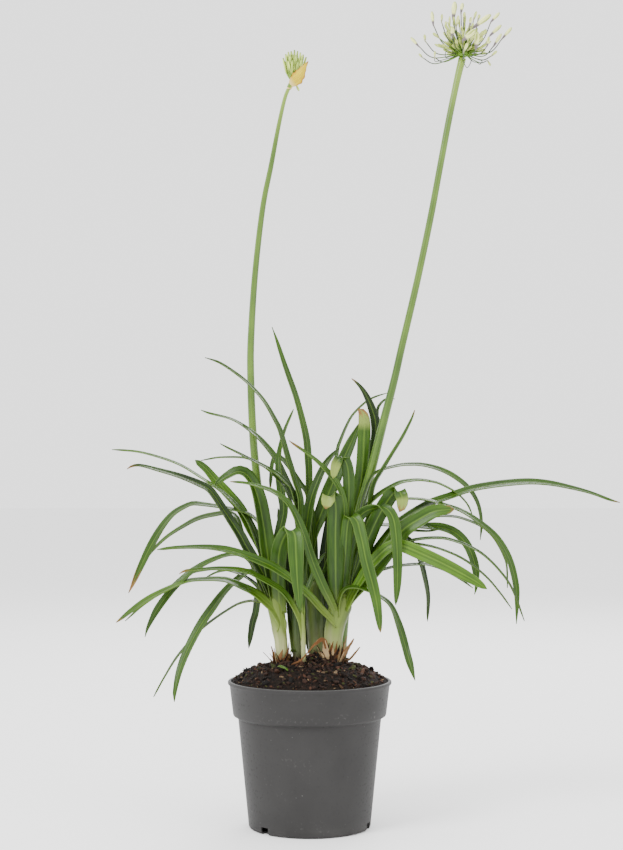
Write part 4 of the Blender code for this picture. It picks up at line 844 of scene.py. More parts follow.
@dataclass(frozen=True)
class LeafFinish:
    """Strap leaf: lengthwise veins, pale keel and foot, dry tip."""

    shade: tuple = (0.0032, 0.0110, 0.0006)
    green: tuple = (0.020, 0.056, 0.0024)
    bright: tuple = (0.072, 0.160, 0.006)
    fibre: tuple = (0.064, 0.125, 0.014)
    keel: tuple = (0.110, 0.185, 0.020)
    groove: tuple = (0.008, 0.024, 0.002)
    edge: tuple = (0.110, 0.170, 0.028)
    foot: tuple = (0.215, 0.275, 0.055)
    freckle: tuple = (0.100, 0.070, 0.015)
    dry: tuple = (0.300, 0.150, 0.040)
    dead: tuple = (0.060, 0.026, 0.010)

    def make(self) -> bpy.types.Material:
        """Mix the colours by the blade's own attributes."""
        p = Paint("leaf_blade", 0.36, 0.22)
        along, across, tone = p.fact("along"), p.fact("across"), p.fact("tone")
        dry, pale = p.fact("dry"), p.fact("pale")
        fibre = p.noise(1.0, 3.0, p.join(across * 7.0, along * 1.3, tone * 37.0))
        fine = p.noise(1.0, 2.0, p.join(across * 24.0, along * 3.0, tone * 61.0))
        cloud = p.noise(26.0, 2.0)
        now = tone + (cloud - 0.5) * 0.60 + (fibre - 0.5) * 0.45
        off_middle = abs(across)
        green = now.step(0.05, 0.50).blend(self.shade, self.green)
        green = now.step(0.40, 0.98).blend(green, self.bright)
        green = (fine.step(0.45, 0.75) * 0.30).blend(green, self.fibre)
        green = (off_middle.step(0.14, 0.0) * 0.55).blend(green, self.keel)
        beside_keel = off_middle.step(0.10, 0.30) * off_middle.step(0.50, 0.30)
        green = (beside_keel * 0.35).blend(green, self.groove)
        green = (off_middle.step(0.88, 1.0) * 0.35).blend(green, self.edge)
        # The pale foot colour also paints the highlight on folded tips.
        base = pale.blend(green, self.foot)
        base = (p.noise(150.0, 2.0).step(0.71, 0.78) * 0.4).blend(base, self.freckle)
        brown = p.noise(300.0, 2.0).blend(self.dry, self.dead)
        p.colour(dry.blend(base, brown))
        p.roughness(fibre * 0.18 + dry * 0.3 + 0.24)
        p.bump(fibre * 0.6 + fine * 0.4, 0.40, 0.0007)
        return p.material


@dataclass(frozen=True)
class FootFinish:
    """Sheathing shoot foot: whitish at the soil, green above, ribbed."""

    shade: tuple = (0.014, 0.033, 0.003)
    green: tuple = (0.140, 0.200, 0.028)
    whitish: tuple = (0.330, 0.340, 0.150)
    rib: tuple = (0.070, 0.110, 0.016)
    soiled: tuple = (0.040, 0.019, 0.008)
    white_zone: tuple = (0.216, 0.178)
    soil_zone: tuple = (0.184, 0.170)

    def make(self) -> bpy.types.Material:
        """Mix the colours by height and by the ribs."""
        p = Paint("shoot_foot", 0.42, 0.3)
        tone = p.fact("tone")
        rise = p.height()
        rib = p.noise(1.0, 2.0, p.join(p.fact("across") * 30.0, rise * 14.0, tone * 9.0))
        broad = p.noise(1.0, 2.0, p.join(p.fact("across") * 8.0, rise * 9.0, tone * 9.0))
        green = (tone + (broad - 0.5) * 1.1).step(0.10, 0.90).blend(self.shade, self.green)
        low = (rise + (broad - 0.5) * 0.034).step(*self.white_zone) * p.fact("pale")
        body = low.blend(green, self.whitish)
        body = (rib.step(0.45, 0.8) * 0.35).blend(body, self.rib)
        soil = (rise + (rib - 0.5) * 0.016).step(*self.soil_zone)
        p.colour((soil * 0.9).blend(body, self.soiled))
        p.bump(rib, 0.5, 0.0009)
        return p.material


@dataclass(frozen=True)
class StalkFinish:
    """Bare stalk: pale green with fine lengthwise ribs."""

    shade: tuple = (0.018, 0.056, 0.0028)
    green: tuple = (0.105, 0.190, 0.016)
    neck: tuple = (0.260, 0.370, 0.050)

    def make(self) -> bpy.types.Material:
        """Mix the colours by the ribs and a soft patch."""
        p = Paint("stalk_skin", 0.36, 0.4)
        rise = p.height()
        rib = p.noise(1.0, 2.0, p.join(p.fact("across") * 16.0, rise * 3.0, p.fact("tone") * 5.0))
        patch = p.noise(30.0, 2.0)
        skin = (rib * 0.8 + patch * 0.5).step(0.30, 0.95).blend(self.shade, self.green)
        p.colour(p.fact("pale").blend(skin, self.neck))
        p.bump(rib, 0.35, 0.0005)
        return p.material


@dataclass(frozen=True)
class BudFinish:
    """Stalklet and bud: green stalklet, mauve neck, pale body with faint ribs.

    Args:
        name: the material's name.
        cream: the bud's pale colour.
        green: the bud's green.
        mauve: strength of the mauve neck, 0 for a plain green head.
    """

    name: str
    cream: tuple
    green: tuple
    mauve: float
    neck: tuple = (0.050, 0.014, 0.095)
    stem_low: tuple = (0.100, 0.200, 0.010)
    stem_high: tuple = (0.026, 0.042, 0.018)
    stem_inner: tuple = (0.085, 0.165, 0.010)
    plain_stem: tuple = ((0.110, 0.190, 0.012), (0.220, 0.340, 0.040))

    def make(self) -> bpy.types.Material:
        """Mix the colours along the stalklet, where 0 is the bud's base and 1 its tip."""
        p = Paint(self.name, 0.42, 0.3)
        along, across, tone = p.fact("along"), p.fact("across"), p.fact("tone")
        ribs = p.noise(1.0, 1.0, p.join(across * 9.0, along * 1.2, tone * 23.0))
        body = ribs.step(0.25, 0.65).blend(self.green, self.cream)
        body = (tone.step(0.35, 0.9) * 0.70).blend(body, self.green)
        body = (along.step(0.86, 1.0) * 0.6).blend(body, self.green)
        neck = along.step(0.36, 0.20) * along.step(-0.10, 0.01) * self.mauve * (tone * -0.9 + 1.0)
        body = neck.blend(body, self.neck)
        if self.mauve:
            stem = (along + ribs * 0.25).step(-0.80, -0.10).blend(self.stem_low, self.stem_high)
            stem = tone.step(0.60, 0.80).blend(stem, self.stem_inner)
        else:
            stem = ribs.step(0.3, 0.7).blend(*self.plain_stem)
        p.colour(along.step(-0.05, 0.02).blend(stem, body))
        p.bump(ribs, 0.3, 0.0003)
        return p.material


@dataclass(frozen=True)
class BractFinish:
    """Papery bract: yellow with amber edges and veins."""

    ochre: tuple = (0.360, 0.235, 0.000)
    yellow: tuple = (0.600, 0.470, 0.000)
    amber: tuple = (0.330, 0.120, 0.000)
    tip: tuple = (0.160, 0.045, 0.006)
    foot: tuple = (0.600, 0.480, 0.200)

    def make(self) -> bpy.types.Material:
        """Mix the colours by veins, edge, tip and foot."""
        p = Paint("bract_paper", 0.5, 0.3)
        across, along = p.fact("across"), p.fact("along")
        vein = p.noise(1.0, 2.0, p.join(across * 14.0, along * 3.0, 4.0))
        skin = vein.step(0.3, 0.7).blend(self.ochre, self.yellow)
        skin = (abs(across).step(0.60, 1.0) * 0.80).blend(skin, self.amber)
        skin = (along.step(0.82, 1.0) * 0.9).blend(skin, self.tip)
        p.colour((along.step(0.22, 0.0) * 0.75).blend(skin, self.foot))
        p.bump(vein, 0.4, 0.0004)
        return p.material


@dataclass(frozen=True)
class DryFinish:
    """Dry sheath: tan paper with dark streaks."""

    dark: tuple = (0.010, 0.004, 0.002)
    russet: tuple = (0.125, 0.050, 0.013)
    tan: tuple = (0.400, 0.280, 0.145)
    soiled: tuple = (0.020, 0.010, 0.006)
    soil_zone: tuple = (0.178, 0.168)

    def make(self) -> bpy.types.Material:
        """Mix the colours by each shred's tone and its streaks."""
        p = Paint("dry_paper", 0.75, 0.2)
        tone = p.fact("tone")
        streak = p.noise(1.0, 3.0, p.join(p.fact("across") * 5.0, p.fact("along") * 4.0, tone * 19.0))
        mix = tone + (streak - 0.5) * 0.55
        skin = mix.step(0.05, 0.45).blend(self.dark, self.russet)
        skin = mix.step(0.45, 0.95).blend(skin, self.tan)
        p.colour((p.height().step(*self.soil_zone) * 0.7).blend(skin, self.soiled))
        p.bump(streak, 0.7, 0.0009)
        return p.material


@dataclass(frozen=True)
class SoilFinish:
    """Moist potting soil."""

    black: tuple = (0.0020, 0.0013, 0.0009)
    brown: tuple = (0.019, 0.0095, 0.0055)
    olive: tuple = (0.014, 0.010, 0.004)

    def make(self) -> bpy.types.Material:
        """Mix the colours by grain and by patches."""
        p = Paint("soil_bed", 0.9, 0.15)
        grain = p.noise(420.0, 4.0, rough=0.7)
        patch = p.noise(90.0, 3.0)
        earth = grain.step(0.38, 0.75).blend(self.black, self.brown)
        p.colour((patch.step(0.55, 0.75) * 0.5).blend(earth, self.olive))
        p.bump(grain + patch, 0.9, 0.0018)
        return p.material


@dataclass(frozen=True)
class CrumbFinish:
    """Bits of bark, root and peat, told apart by their tone."""

    peat: tuple = (0.0025, 0.0018, 0.0012)
    earth: tuple = (0.026, 0.0115, 0.0065)
    bark: tuple = (0.062, 0.025, 0.013)
    moss: tuple = (0.036, 0.040, 0.010)
    root: tuple = (0.150, 0.100, 0.055)
    grime: tuple = (0.003, 0.002, 0.0014)

    def make(self) -> bpy.types.Material:
        """Pick the colour by tone, then dirty it."""
        p = Paint("soil_crumbs", 0.8, 0.2)
        tone = p.fact("tone")
        grain = p.noise(700.0, 3.0)
        bit = tone.step(0.10, 0.62).blend(self.peat, self.earth)
        bit = tone.step(0.72, 0.84).blend(bit, self.bark)
        bit = tone.step(0.89, 0.92).blend(bit, self.moss)
        bit = tone.step(0.955, 0.965).blend(bit, self.root)
        p.colour((grain.step(0.35, 0.75) * 0.65).blend(bit, self.grime))
        p.bump(grain, 0.7, 0.0010)
        return p.material


@dataclass(frozen=True)
class PotFinish:
    """Moulded grey plastic with scuffs and pale dust.

    Args:
        step_z: height of the step under the collar, where most scuffs are.
    """

    step_z: float
    grey: tuple = (0.0270, 0.0261, 0.0257)
    light_grey: tuple = (0.0315, 0.0305, 0.0301)
    speck: tuple = (0.120, 0.117, 0.112)
    scuff: tuple = (0.110, 0.107, 0.102)
    dust: tuple = (0.090, 0.087, 0.082)
    # Light grey of the painted highlight on the rim's top
    painted_rim_highlight: tuple = (0.090, 0.090, 0.090)

    def make(self) -> bpy.types.Material:
        """Mix the greys, then add specks, scuffs, foot dust and a painted highlight on the rim's top."""
        p = Paint("pot_grey", 0.42, 0.12)
        cloud = p.noise(22.0, 3.0)
        turn, rise, pale = p.fact("across"), p.height(), p.fact("pale")
        speck = p.noise(330.0, 2.0).step(0.735, 0.775)
        scuff = p.noise(1.0, 3.0, p.join(turn * 150.0, rise * 330.0, 2.0)).step(0.56, 0.68)
        where = p.noise(1.0, 1.0, p.join(turn * 17.0, rise * 45.0, 7.0)).step(0.55, 0.66)
        brushed = p.noise(1.0, 2.0, p.join(turn * 300.0, rise * 6.0, 5.0))
        grey = cloud.step(0.3, 0.7).blend(self.grey, self.light_grey)
        grey = (speck * 0.55).blend(grey, self.speck)
        near_step = abs(rise - self.step_z).step(0.0075, 0.0)
        marks = scuff * (where * 0.16 + where * near_step * 0.60 + near_step * 0.22)
        grey = marks.blend(grey, self.scuff)
        low = rise.step(0.016, 0.0) * cloud.step(0.35, 0.65)
        grey = (low * 0.20).blend(grey, self.dust)
        # Painted highlight: the rim's top is painted a lighter grey.
        p.colour((pale * 0.5).blend(grey, self.painted_rim_highlight))
        p.roughness(cloud * 0.16 + scuff * 0.2 + 0.44)
        p.bump(brushed * 0.3 + p.noise(700.0, 2.0) * 0.5 + speck, 0.15, 0.0004)
        return p.material


class Palette:
    """The materials of the plant and its pot."""

    def __init__(self) -> None:
        self.leaf = LeafFinish().make()
        self.foot = FootFinish().make()
        self.stalk = StalkFinish().make()
        self.bud = BudFinish("bud_petals", (0.800, 0.830, 0.330), (0.250, 0.330, 0.030), 1.0).make()
        self.green_bud = BudFinish("green_bud_petals", (0.560, 0.680, 0.150), (0.100, 0.170, 0.010),
                                   0.0).make()
        self.bract = BractFinish().make()
        self.dry = DryFinish().make()
        self.soil = SoilFinish().make()
        self.crumb = CrumbFinish().make()
        self.pot = PotFinish(COLLAR_Z + 0.0035).make()


# Leaves

class Blade:
    """The surface of one leaf.

    Args:
        leaf: its sizes and course.
    """

    COLUMNS = 8
    ROWS = (24, 72)
    ROW_LENGTH = 0.0042
    COURSE_POINTS = 161
    FOOT_SHARE = 0.3
    TIP_SHARE = 0.40
    LEAST_WIDTH = 0.04
    VEIN_LENGTH = 0.05
    WAVE_LENGTH = 0.021
    PALE_TOP = 0.250
    PALE_FADE = 0.060

    def __init__(self, leaf: Leaf) -> None:
        self.leaf = leaf
        flat = curve_through(leaf.trace)
        run = run_along(flat)
        share = np.linspace(0, 1, self.COURSE_POINTS)
        px = np.interp(share, run / run[-1], flat[:, 0])
        py = np.interp(share, run / run[-1], flat[:, 1])
        deep = smooth(spread(leaf.depth, share), 9)
        self.mid = np.array([sight(a, b, d) for a, b, d in zip(px, py, deep)])
        along = unit(np.gradient(self.mid, axis=0))
        wide = self._width(share)
        if leaf.way == 0:
            side = np.tile([1.0, 0.0, 0.0], (len(share), 1))
        else:
            shown = smooth(spread(leaf.seen, share), 7) * EYE_BACK / FOCAL
            wide = np.maximum(wide, np.minimum(shown, wide * 1.20))
            lean = np.clip(shown / wide, 0.06, 1.0)
            plan = unit(np.column_stack([-along[:, 2], np.zeros(len(share)), along[:, 0]]))
            side = plan * lean[:, None]
            side[:, 1] += np.sqrt(1 - lean ** 2) * leaf.way * leaf.face
            side = smooth(side, 4)
        self.side = unit(side - along * np.sum(side * along, axis=1, keepdims=True))
        self.normal = np.cross(along, self.side)
        self.wide = wide
        self.length = float(run_along(self.mid)[-1])

    def _width(self, share: np.ndarray) -> np.ndarray:
        """Real width in metres: narrow foot, strap, pointed tip.

        Args:
            share: places from the root at 0 to the tip at 1.
        Returns:
            The width at each place.
        """
        leaf = self.leaf
        foot = leaf.base + (1 - leaf.base) * np.clip(share / self.FOOT_SHARE, 0, 1) ** 0.7
        tip = np.clip((share - (1 - self.TIP_SHARE)) / self.TIP_SHARE, 0, 1)
        point = (1 - tip ** 1.9) ** 0.78
        square = np.sqrt(np.clip(1 - tip ** (3.2 + 2.0 * leaf.blunt), 0, 1))
        taper = point + (square - point) * min(1.0, leaf.blunt * 1.4)
        return leaf.wide * MM * foot * np.maximum(taper, self.LEAST_WIDTH)

    def _dryness(self, across: np.ndarray, v: np.ndarray, seed: float) -> np.ndarray:
        """How dry the tip is, further down at the edges.

        Args:
            across: from -1 to 1 over the blade.
            v: from 0 to 1 along it.
            seed: the leaf's own number.
        Returns:
            Dryness from 0 to 1.
        """
        dry = self.leaf.dry
        if not dry:
            return np.zeros_like(v)
        edge = dry * (1 + 0.8 * np.abs(across) + 0.5 * np.sin(across * 7 + seed))
        return np.clip((v - (1 - edge)) / max(dry * 0.5, 1e-4), 0, 1)

    def _paleness(self, height: np.ndarray, v: np.ndarray) -> np.ndarray:
        """How pale the foot is, with the painted highlight on a folded tip; inner leaves keep little
        paleness, as painted shade.

        Args:
            height: height above the floor.
            v: from 0 to 1 along the blade.
        Returns:
            Paleness from 0 to 1.
        """
        low = np.clip((self.PALE_TOP - height) / self.PALE_FADE, 0, 1)
        pale = low * np.clip((0.30 - v) / 0.12, 0, 1) * 0.85
        # A folded tip is painted pale: a painted highlight where the fold turns to the light.
        if self.leaf.folded:
            pale = np.maximum(pale, np.clip((v - 0.885) / 0.03, 0, 1) * 0.75)
        # Inner leaf bases keep little of the pale foot: painted shade in the clump's heart.
        return pale * 0.15 if self.leaf.inner else pale

    def sew(self, cloth: Cloth) -> None:
        """Add the blade to a cloth."""
        leaf = self.leaf
        seed = sum(ord(c) for c in leaf.name) * 0.37
        rows = int(np.clip(self.length / self.ROW_LENGTH, *self.ROWS))
        turn = 1 if leaf.way == 0 else leaf.face

        def place(u: np.ndarray, v: np.ndarray) -> tuple:
            """Bend the grid along the leaf, with its channel, wave and keel."""
            a = 2 * u - 1
            mid, side, normal = at_rows(self.mid, v), at_rows(self.side, v), at_rows(self.normal, v)
            half = spread(self.wide, v) / 2
            channel = leaf.fold * 2 * half * np.abs(a) ** 1.35 * turn
            wave = 0.05 * half * np.sin(v * self.length / self.WAVE_LENGTH + seed + a * 0.8) * np.abs(a)
            keel = 0.00018 * np.cos(a * 9.4) * (1 - np.abs(a))
            points = mid + side * (a * half * (1 + 0.03 * np.sin(v * 23 + seed)))[:, None]
            points = points + normal * (channel + wave + keel)[:, None]
            facts = {"along": v * self.length / self.VEIN_LENGTH, "across": a, "tone": leaf.tone,
                     "dry": self._dryness(a, v, seed), "pale": self._paleness(points[:, 2], v)}
            return points, facts

        cloth.grid(self.COLUMNS, rows, place)


@dataclass(frozen=True)
class LeafyShoot:
    """One shoot in the scene: its sheathed foot and its leaves.

    Args:
        shoot: sizes and leaves.
        tone: how light the foot is.
        pale: how whitish the foot is at the soil.
        leaf_skin: thickness of the leaves.
        sheath_turns: how often a sheath's edge comes round.
        sheath_step: height of that edge as a share of the radius.
    """

    shoot: Shoot
    tone: float
    pale: float
    leaf_skin: float = 0.0010
    sheath_turns: int = 3
    sheath_step: float = 0.105

    def _column(self, cloth: Cloth) -> None:
        """The foot: an oval column with wrapped sheath edges."""
        shoot = self.shoot
        base = sight(shoot.foot[0], GROUND_ROW, shoot.foot[1])
        keys = [(base.x, base.y, z, shoot.girth[0] * MM, shoot.girth[1] * MM) for z in (FOOT_Z, STRAIGHT_Z)]
        for row, px, half_wide, half_deep, deep in shoot.rise:
            keys.append((*sight(px, row, deep), half_wide * MM, half_deep * MM))
        keys = np.array(keys)
        last = keys[-1].copy()
        last[2] += 0.004
        last[3:] *= 0.45
        keys = np.vstack([keys, last])
        heights = keys[:, 2]

        def place(u: np.ndarray, v: np.ndarray) -> tuple:
            """Bend the grid round the column, with a step at each sheath's edge."""
            turn = 2 * math.pi * u
            z = heights[0] + (heights[-1] - heights[0]) * v
            cx, cy, rx, ry = (np.interp(z, heights, keys[:, c]) for c in (0, 1, 3, 4))
            above = np.clip((z - 0.170) / 0.02, 0, 1)
            step = (turn * self.sheath_turns / (2 * math.pi) + z * 22) % 1.0 - 0.5
            wrap = 1 + self.sheath_step * above * step
            points = np.column_stack([cx + rx * wrap * np.cos(turn), cy + ry * wrap * np.sin(turn), z])
            return points, {"across": u, "tone": self.tone, "pale": self.pale}

        cloth.grid(40, 40, place, closed=True)

    def make(self, palette: Palette) -> tuple:
        """Build the shoot.

        Args:
            palette: the finishes.
        Returns:
            The leaf piece and the foot piece.
        """
        blades = Cloth()
        for leaf in (*self.shoot.leaves, *HEART_LEAVES.get(self.shoot.name, ())):
            Blade(leaf).sew(blades)
        leaves = blades.finish(self.shoot.name + "_leaves", [palette.leaf], thickness=self.leaf_skin)
        column = Cloth()
        self._column(column)
        foot = column.finish(self.shoot.name + "_foot", [palette.foot])
        LOG.info("%s: %d leaves", self.shoot.name, len(self.shoot.leaves))
        return leaves, foot


# Stalks and heads

class Stalk:
    """A bare flower stalk.

    Args:
        name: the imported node's name.
        sizes: foot place, foot radius and the rise.
        tone: a number that varies its ribs.
    """

    SIDES = 20
    RINGS = 110
    RIBS = (5, 0.012)

    def __init__(self, name: str, sizes: tuple, tone: float) -> None:
        self.name = name
        self.tone = tone
        (px, deep), radius, rise = sizes
        base = sight(px, GROUND_ROW, deep)
        points = [(base.x, base.y, FOOT_Z), (base.x, base.y, STRAIGHT_Z)]
        radii = [radius * MM] * 2
        for x, y, d, r in rise:
            points.append(tuple(sight(x, y, d)))
            radii.append(r * MM)
        fine = curve_through(points, 8)
        size = np.interp(np.linspace(0, len(radii) - 1, len(fine)), np.arange(len(radii)), radii)
        run = run_along(fine)
        even = np.linspace(0, run[-1], 140)
        self.spine = np.column_stack([np.interp(even, run, fine[:, c]) for c in range(3)])
        self.radii = np.interp(even, run, size)

    @property
    def top(self) -> Vector:
        """The top of the stalk."""
        return Vector(self.spine[-1])

    def make(self, palette: Palette) -> bpy.types.Object:
        """Build the stalk, paler just under its head."""
        cloth = Cloth()

        def facts(u: np.ndarray, v: np.ndarray) -> dict:
            """Attributes of the skin."""
            return {"across": u, "tone": self.tone, "pale": np.clip((v - 0.90) / 0.1, 0, 1) * 0.6}

        cloth.tube(self.spine, self.radii, self.SIDES, self.RINGS, facts, ribs=self.RIBS)
        LOG.info("%s: %.3f m long", self.name, run_along(self.spine)[-1])
        return cloth.finish(self.name + "_skin", [palette.stalk])


class BudSpray:
    """A head of buds on fine stalklets.

    Args:
        name: the piece's name.
        heart: centre of the knob.
        knob: radius of the knob.
        squash: its height as a share of the width.
    """

    BODY = ((0.0, 0.42), (0.12, 0.60), (0.28, 0.74), (0.5, 0.95), (0.68, 1.0), (0.84, 0.86), (0.94, 0.56),
            (1.0, 0.10))
    SIDES = 9
    RIBS = (3, 0.05)
    GOLDEN_TURN = 2.39996

    def __init__(self, name: str, heart: Vector, knob: float, squash: float) -> None:
        self.name = name
        self.heart = heart
        self.cloth = Cloth()
        spine = np.array([tuple(heart + Vector((0, 0, knob * squash * t))) for t in np.linspace(-1, 1, 13)])
        radii = knob * np.sqrt(np.clip(1 - np.linspace(-0.995, 0.995, 13) ** 2, 0, 1))
        self.cloth.tube(spine, radii, 18, 14, self.stem_facts(-1.0, 0.3))

    @staticmethod
    def stem_facts(along: float, tone: float) -> Callable:
        """Attributes of a plain green part, the same all over."""
        return lambda u, v: {"along": along, "across": u, "tone": tone}

    def bud(self, elbow: Vector, base: Vector, tip: Vector, fat: float, tone: float,
            stem: float = 0.00055) -> None:
        """Add one stalklet with its bud.

        Args:
            elbow: the point where the stalklet bends.
            base: where the bud starts.
            tip: where it ends.
            fat: the bud's largest radius.
            tone: 0 is cream, 1 is green.
            stem: the stalklet's radius.
        """
        low = self.heart + (elbow - self.heart) * 0.10
        path = curve_through([tuple(low), tuple(elbow), tuple(base)], 6)
        body = np.array([tuple(base + (tip - base) * t) for t, _ in self.BODY])
        spine = np.vstack([path[:-1], body])
        sizes = np.concatenate([np.full(len(path) - 1, stem), [max(fat * s, stem) for _, s in self.BODY]])
        marks = np.concatenate([np.linspace(-1, -0.02, len(path) - 1), [t for t, _ in self.BODY]])

        def facts(u: np.ndarray, v: np.ndarray) -> dict:
            """Attributes: from -1 to 0 along the stalklet and from 0 to 1 along the bud."""
            return {"along": spread(marks, v), "across": u, "tone": tone}

        self.cloth.tube(spine, sizes, self.SIDES, len(spine) - 1, facts, ribs=self.RIBS)

    def finish(self, material: bpy.types.Material) -> bpy.types.Object:
        """Build the piece."""
        return self.cloth.finish(self.name, [material])


class OpenHead(BudSpray):
    """The open umbel on the right stalk."""

    KNOB_RADIUS = 0.0058
    KNOB_SQUASH = 0.7
    INNER_BUDS = 22
    INNER_REACH = (0.030, 0.046)
    FILLER_BUDS = 84
    LOOP_RADIUS = 0.00042

    def __init__(self) -> None:
        super().__init__("umbel_buds", sight(*KNOB), self.KNOB_RADIUS, self.KNOB_SQUASH)

    def _aim(self, turn: float, height: float, squash: float, lift: float = 0.0) -> Vector:
        """A direction out of the knob.

        Args:
            turn: angle round the head.
            height: how far it points up, from 0 to 1.
            squash: depth as a share of the width.
            lift: a small turn upwards.
        Returns:
            A direction of length 1.
        """
        flat = math.sqrt(max(0.0, 1 - height * height))
        return Vector((flat * math.cos(turn), flat * math.sin(turn) * squash, height + lift)).normalized()

    def _outer(self) -> None:
        """The buds that the picture shows at the outline and in front."""
        heart = self.heart
        for tx, ty, bx, by, tip_deep, base_deep, fat in OUTER_BUDS:
            tip, base = sight(tx, ty, tip_deep), sight(bx, by, base_deep)
            away = Vector((base.x - heart.x, base.y - heart.y, 0))
            elbow = heart + (base - heart) * 0.55 + away * 0.12 - Vector((0, 0, away.length * 0.18))
            self.bud(elbow, base, tip, fat * MM, 0.15 if fat > 1.6 else 0.55)

    def _inner(self) -> None:
        """Greener buds spread over the dome."""
        heart, chance = self.heart, random.Random(7)
        near, far = self.INNER_REACH
        for i in range(self.INNER_BUDS):
            height = 0.97 - 0.92 * ((i + 0.5) / self.INNER_BUDS) ** 0.85
            aim = self._aim(i * self.GOLDEN_TURN + 0.4, height, 0.94, 0.05)
            reach = (near + (far - near) * chance.random()) * (0.72 + 0.28 * abs(aim.z))
            length = chance.uniform(0.0065, 0.0125)
            base = heart + aim * (reach - length)
            tip = heart + aim * reach + Vector((0, 0, length * 0.12))
            elbow = heart + aim * (reach - length) * 0.55 - Vector((0, 0, 0.0016))
            self.bud(elbow, base, tip, chance.uniform(0.0012, 0.0018), 0.75)

    def _filler(self) -> None:
        """Small buds near the knob."""
        heart, chance = self.heart, random.Random(19)
        for i in range(self.FILLER_BUDS):
            height = 0.99 - 0.93 * ((i + 0.5) / self.FILLER_BUDS) ** 1.25
            aim = self._aim(i * self.GOLDEN_TURN + 1.1, height, 0.9)
            reach = chance.uniform(0.016, 0.026 + 0.014 * max(0.0, aim.z))
            length = chance.uniform(0.005, 0.010)
            base = heart + aim * max(reach - length, 0.006)
            tip = heart + aim * reach + Vector((0, 0, length * 0.15))
            fat, tone = chance.uniform(0.0009, 0.0015), chance.choice((0.65, 1.0, 1.0))
            self.bud(heart + aim * reach * 0.4, base, tip, fat, tone, 0.0005)

    def make(self, palette: Palette) -> bpy.types.Object:
        """Build the umbel."""
        self._outer()
        self._inner()
        self._filler()
        for path in LOOPS:
            spine = curve_through([tuple(sight(*spot)) for spot in path], 8)
            radii = np.full(len(spine), self.LOOP_RADIUS)
            self.cloth.tube(spine, radii, 7, len(spine) - 1, self.stem_facts(-0.3, 0.2))
        LOG.info("umbel: %d buds", len(OUTER_BUDS) + self.INNER_BUDS + self.FILLER_BUDS)
        return self.finish(palette.bud)


class ClosedHead(BudSpray):
    """The half-open head on the left stalk."""

    KNOB_RADIUS = 0.0031
    KNOB_SQUASH = 0.88
    INNER_BUDS = 10
    NECK_RADII = (0.0021, 0.0023, 0.0028)
    STEM_RADIUS = 0.0009

    def __init__(self) -> None:
        super().__init__("bud_head_buds", sight(*BUNCH), self.KNOB_RADIUS, self.KNOB_SQUASH)

    def _shown(self) -> None:
        """The buds that the picture shows."""
        heart = self.heart
        for i, spot in enumerate(BUNCH_TIPS):
            tip = sight(*spot)
            out = Vector((tip.x - heart.x, tip.y - heart.y, 0))
            rise = tip.z - heart.z
            base = heart + Vector((out.x * 0.72, out.y * 0.72, rise * 0.42))
            elbow = heart + Vector((out.x * 0.36, out.y * 0.36, rise * 0.16))
            lean = Vector((0.0011 * math.sin(i * 2.3), 0.0011 * math.cos(i * 1.7),
                           0.0012 * math.sin(i * 3.1)))
            fat, tone = 0.0012 + 0.0002 * (i % 4), 0.10 + 0.16 * (i % 5)
            self.bud(elbow, base + lean, tip, fat, tone, self.STEM_RADIUS)

    def _inner(self) -> None:
        """Upright buds inside the bunch."""
        heart, chance = self.heart, random.Random(5)
        for _ in range(self.INNER_BUDS):
            spin, out = chance.uniform(0, 6.28), chance.uniform(0.001, 0.007)
            rise = chance.uniform(0.016, 0.026)
            tip = heart + Vector((out * math.cos(spin), out * math.sin(spin), rise))
            base = heart + (tip - heart) * 0.45
            self.bud(heart + (tip - heart) * 0.2, base, tip, 0.0017, 0.5, 0.0008)

    def make(self, palette: Palette) -> bpy.types.Object:
        """Build the bunch, its neck and the bud that hangs."""
        self._shown()
        foot = sight(288.6, 87.6, 0)
        neck = curve_through([tuple(foot), tuple(foot + (self.heart - foot) * 0.5), tuple(self.heart)], 6)
        self.cloth.tube(neck, np.array(self.NECK_RADII), 14, 12, self.stem_facts(-0.6, 0.2))
        self._inner()
        self.bud(sight(294.8, 82.4, 1), sight(296.0, 84.6, 3), sight(299.0, 91, 4), 0.0013, 0.2)
        LOG.info("half-open head: %d buds", len(BUNCH_TIPS) + self.INNER_BUDS + 1)
        return self.finish(palette.green_bud)


# Papery pieces

@dataclass(frozen=True)
class Strip:
    """A thin papery strip through explicit centres.

    Args:
        centres: points.
        side: width direction.
        widths: widths in metres, evenly spread.
        up: rough direction of the hollow face.
        fold: channel depth as a share of the width.
        tone: colour tone.
        curl: how wavy it is.
        columns: faces across.
        rows: faces along.
    """

    centres: Sequence
    side: tuple
    widths: Sequence
    up: tuple
    fold: float = 0.12
    tone: float = 0.5
    curl: float = 0.0
    columns: int = 8
    rows: int = 26

    def sew(self, cloth: Cloth) -> None:
        """Add the strip to a cloth."""
        centres = curve_through([tuple(c) for c in self.centres], 8)
        along = unit(np.gradient(centres, axis=0))
        side = np.tile(np.array(self.side, float), (len(along), 1))
        side = unit(side - along * np.sum(side * along, axis=1, keepdims=True))
        normal = np.cross(along, side)
        if float((normal @ np.array(self.up, float)).sum()) < 0:
            side, normal = -side, -normal

        def place(u: np.ndarray, v: np.ndarray) -> tuple:
            """Bend the grid along the strip, with ragged edges."""
            a = 2 * u - 1
            half = spread(self.widths, v) / 2
            rag = 1 + 0.07 * np.sin(v * 31 + self.tone * 9) * np.abs(a)
            lift = self.fold * 2 * half * np.abs(a) ** 1.6 + self.curl * half * np.sin(v * 9 + a)
            points = at_rows(centres, v) + at_rows(side, v) * (a * half * rag)[:, None]
            return points + at_rows(normal, v) * lift[:, None], {"along": v, "across": a, "tone": self.tone}

        cloth.grid(self.columns, self.rows, place)


def seen(*places: tuple) -> list:
    """Points seen at picture places, each with its depth."""
    return [sight(*place) for place in places]


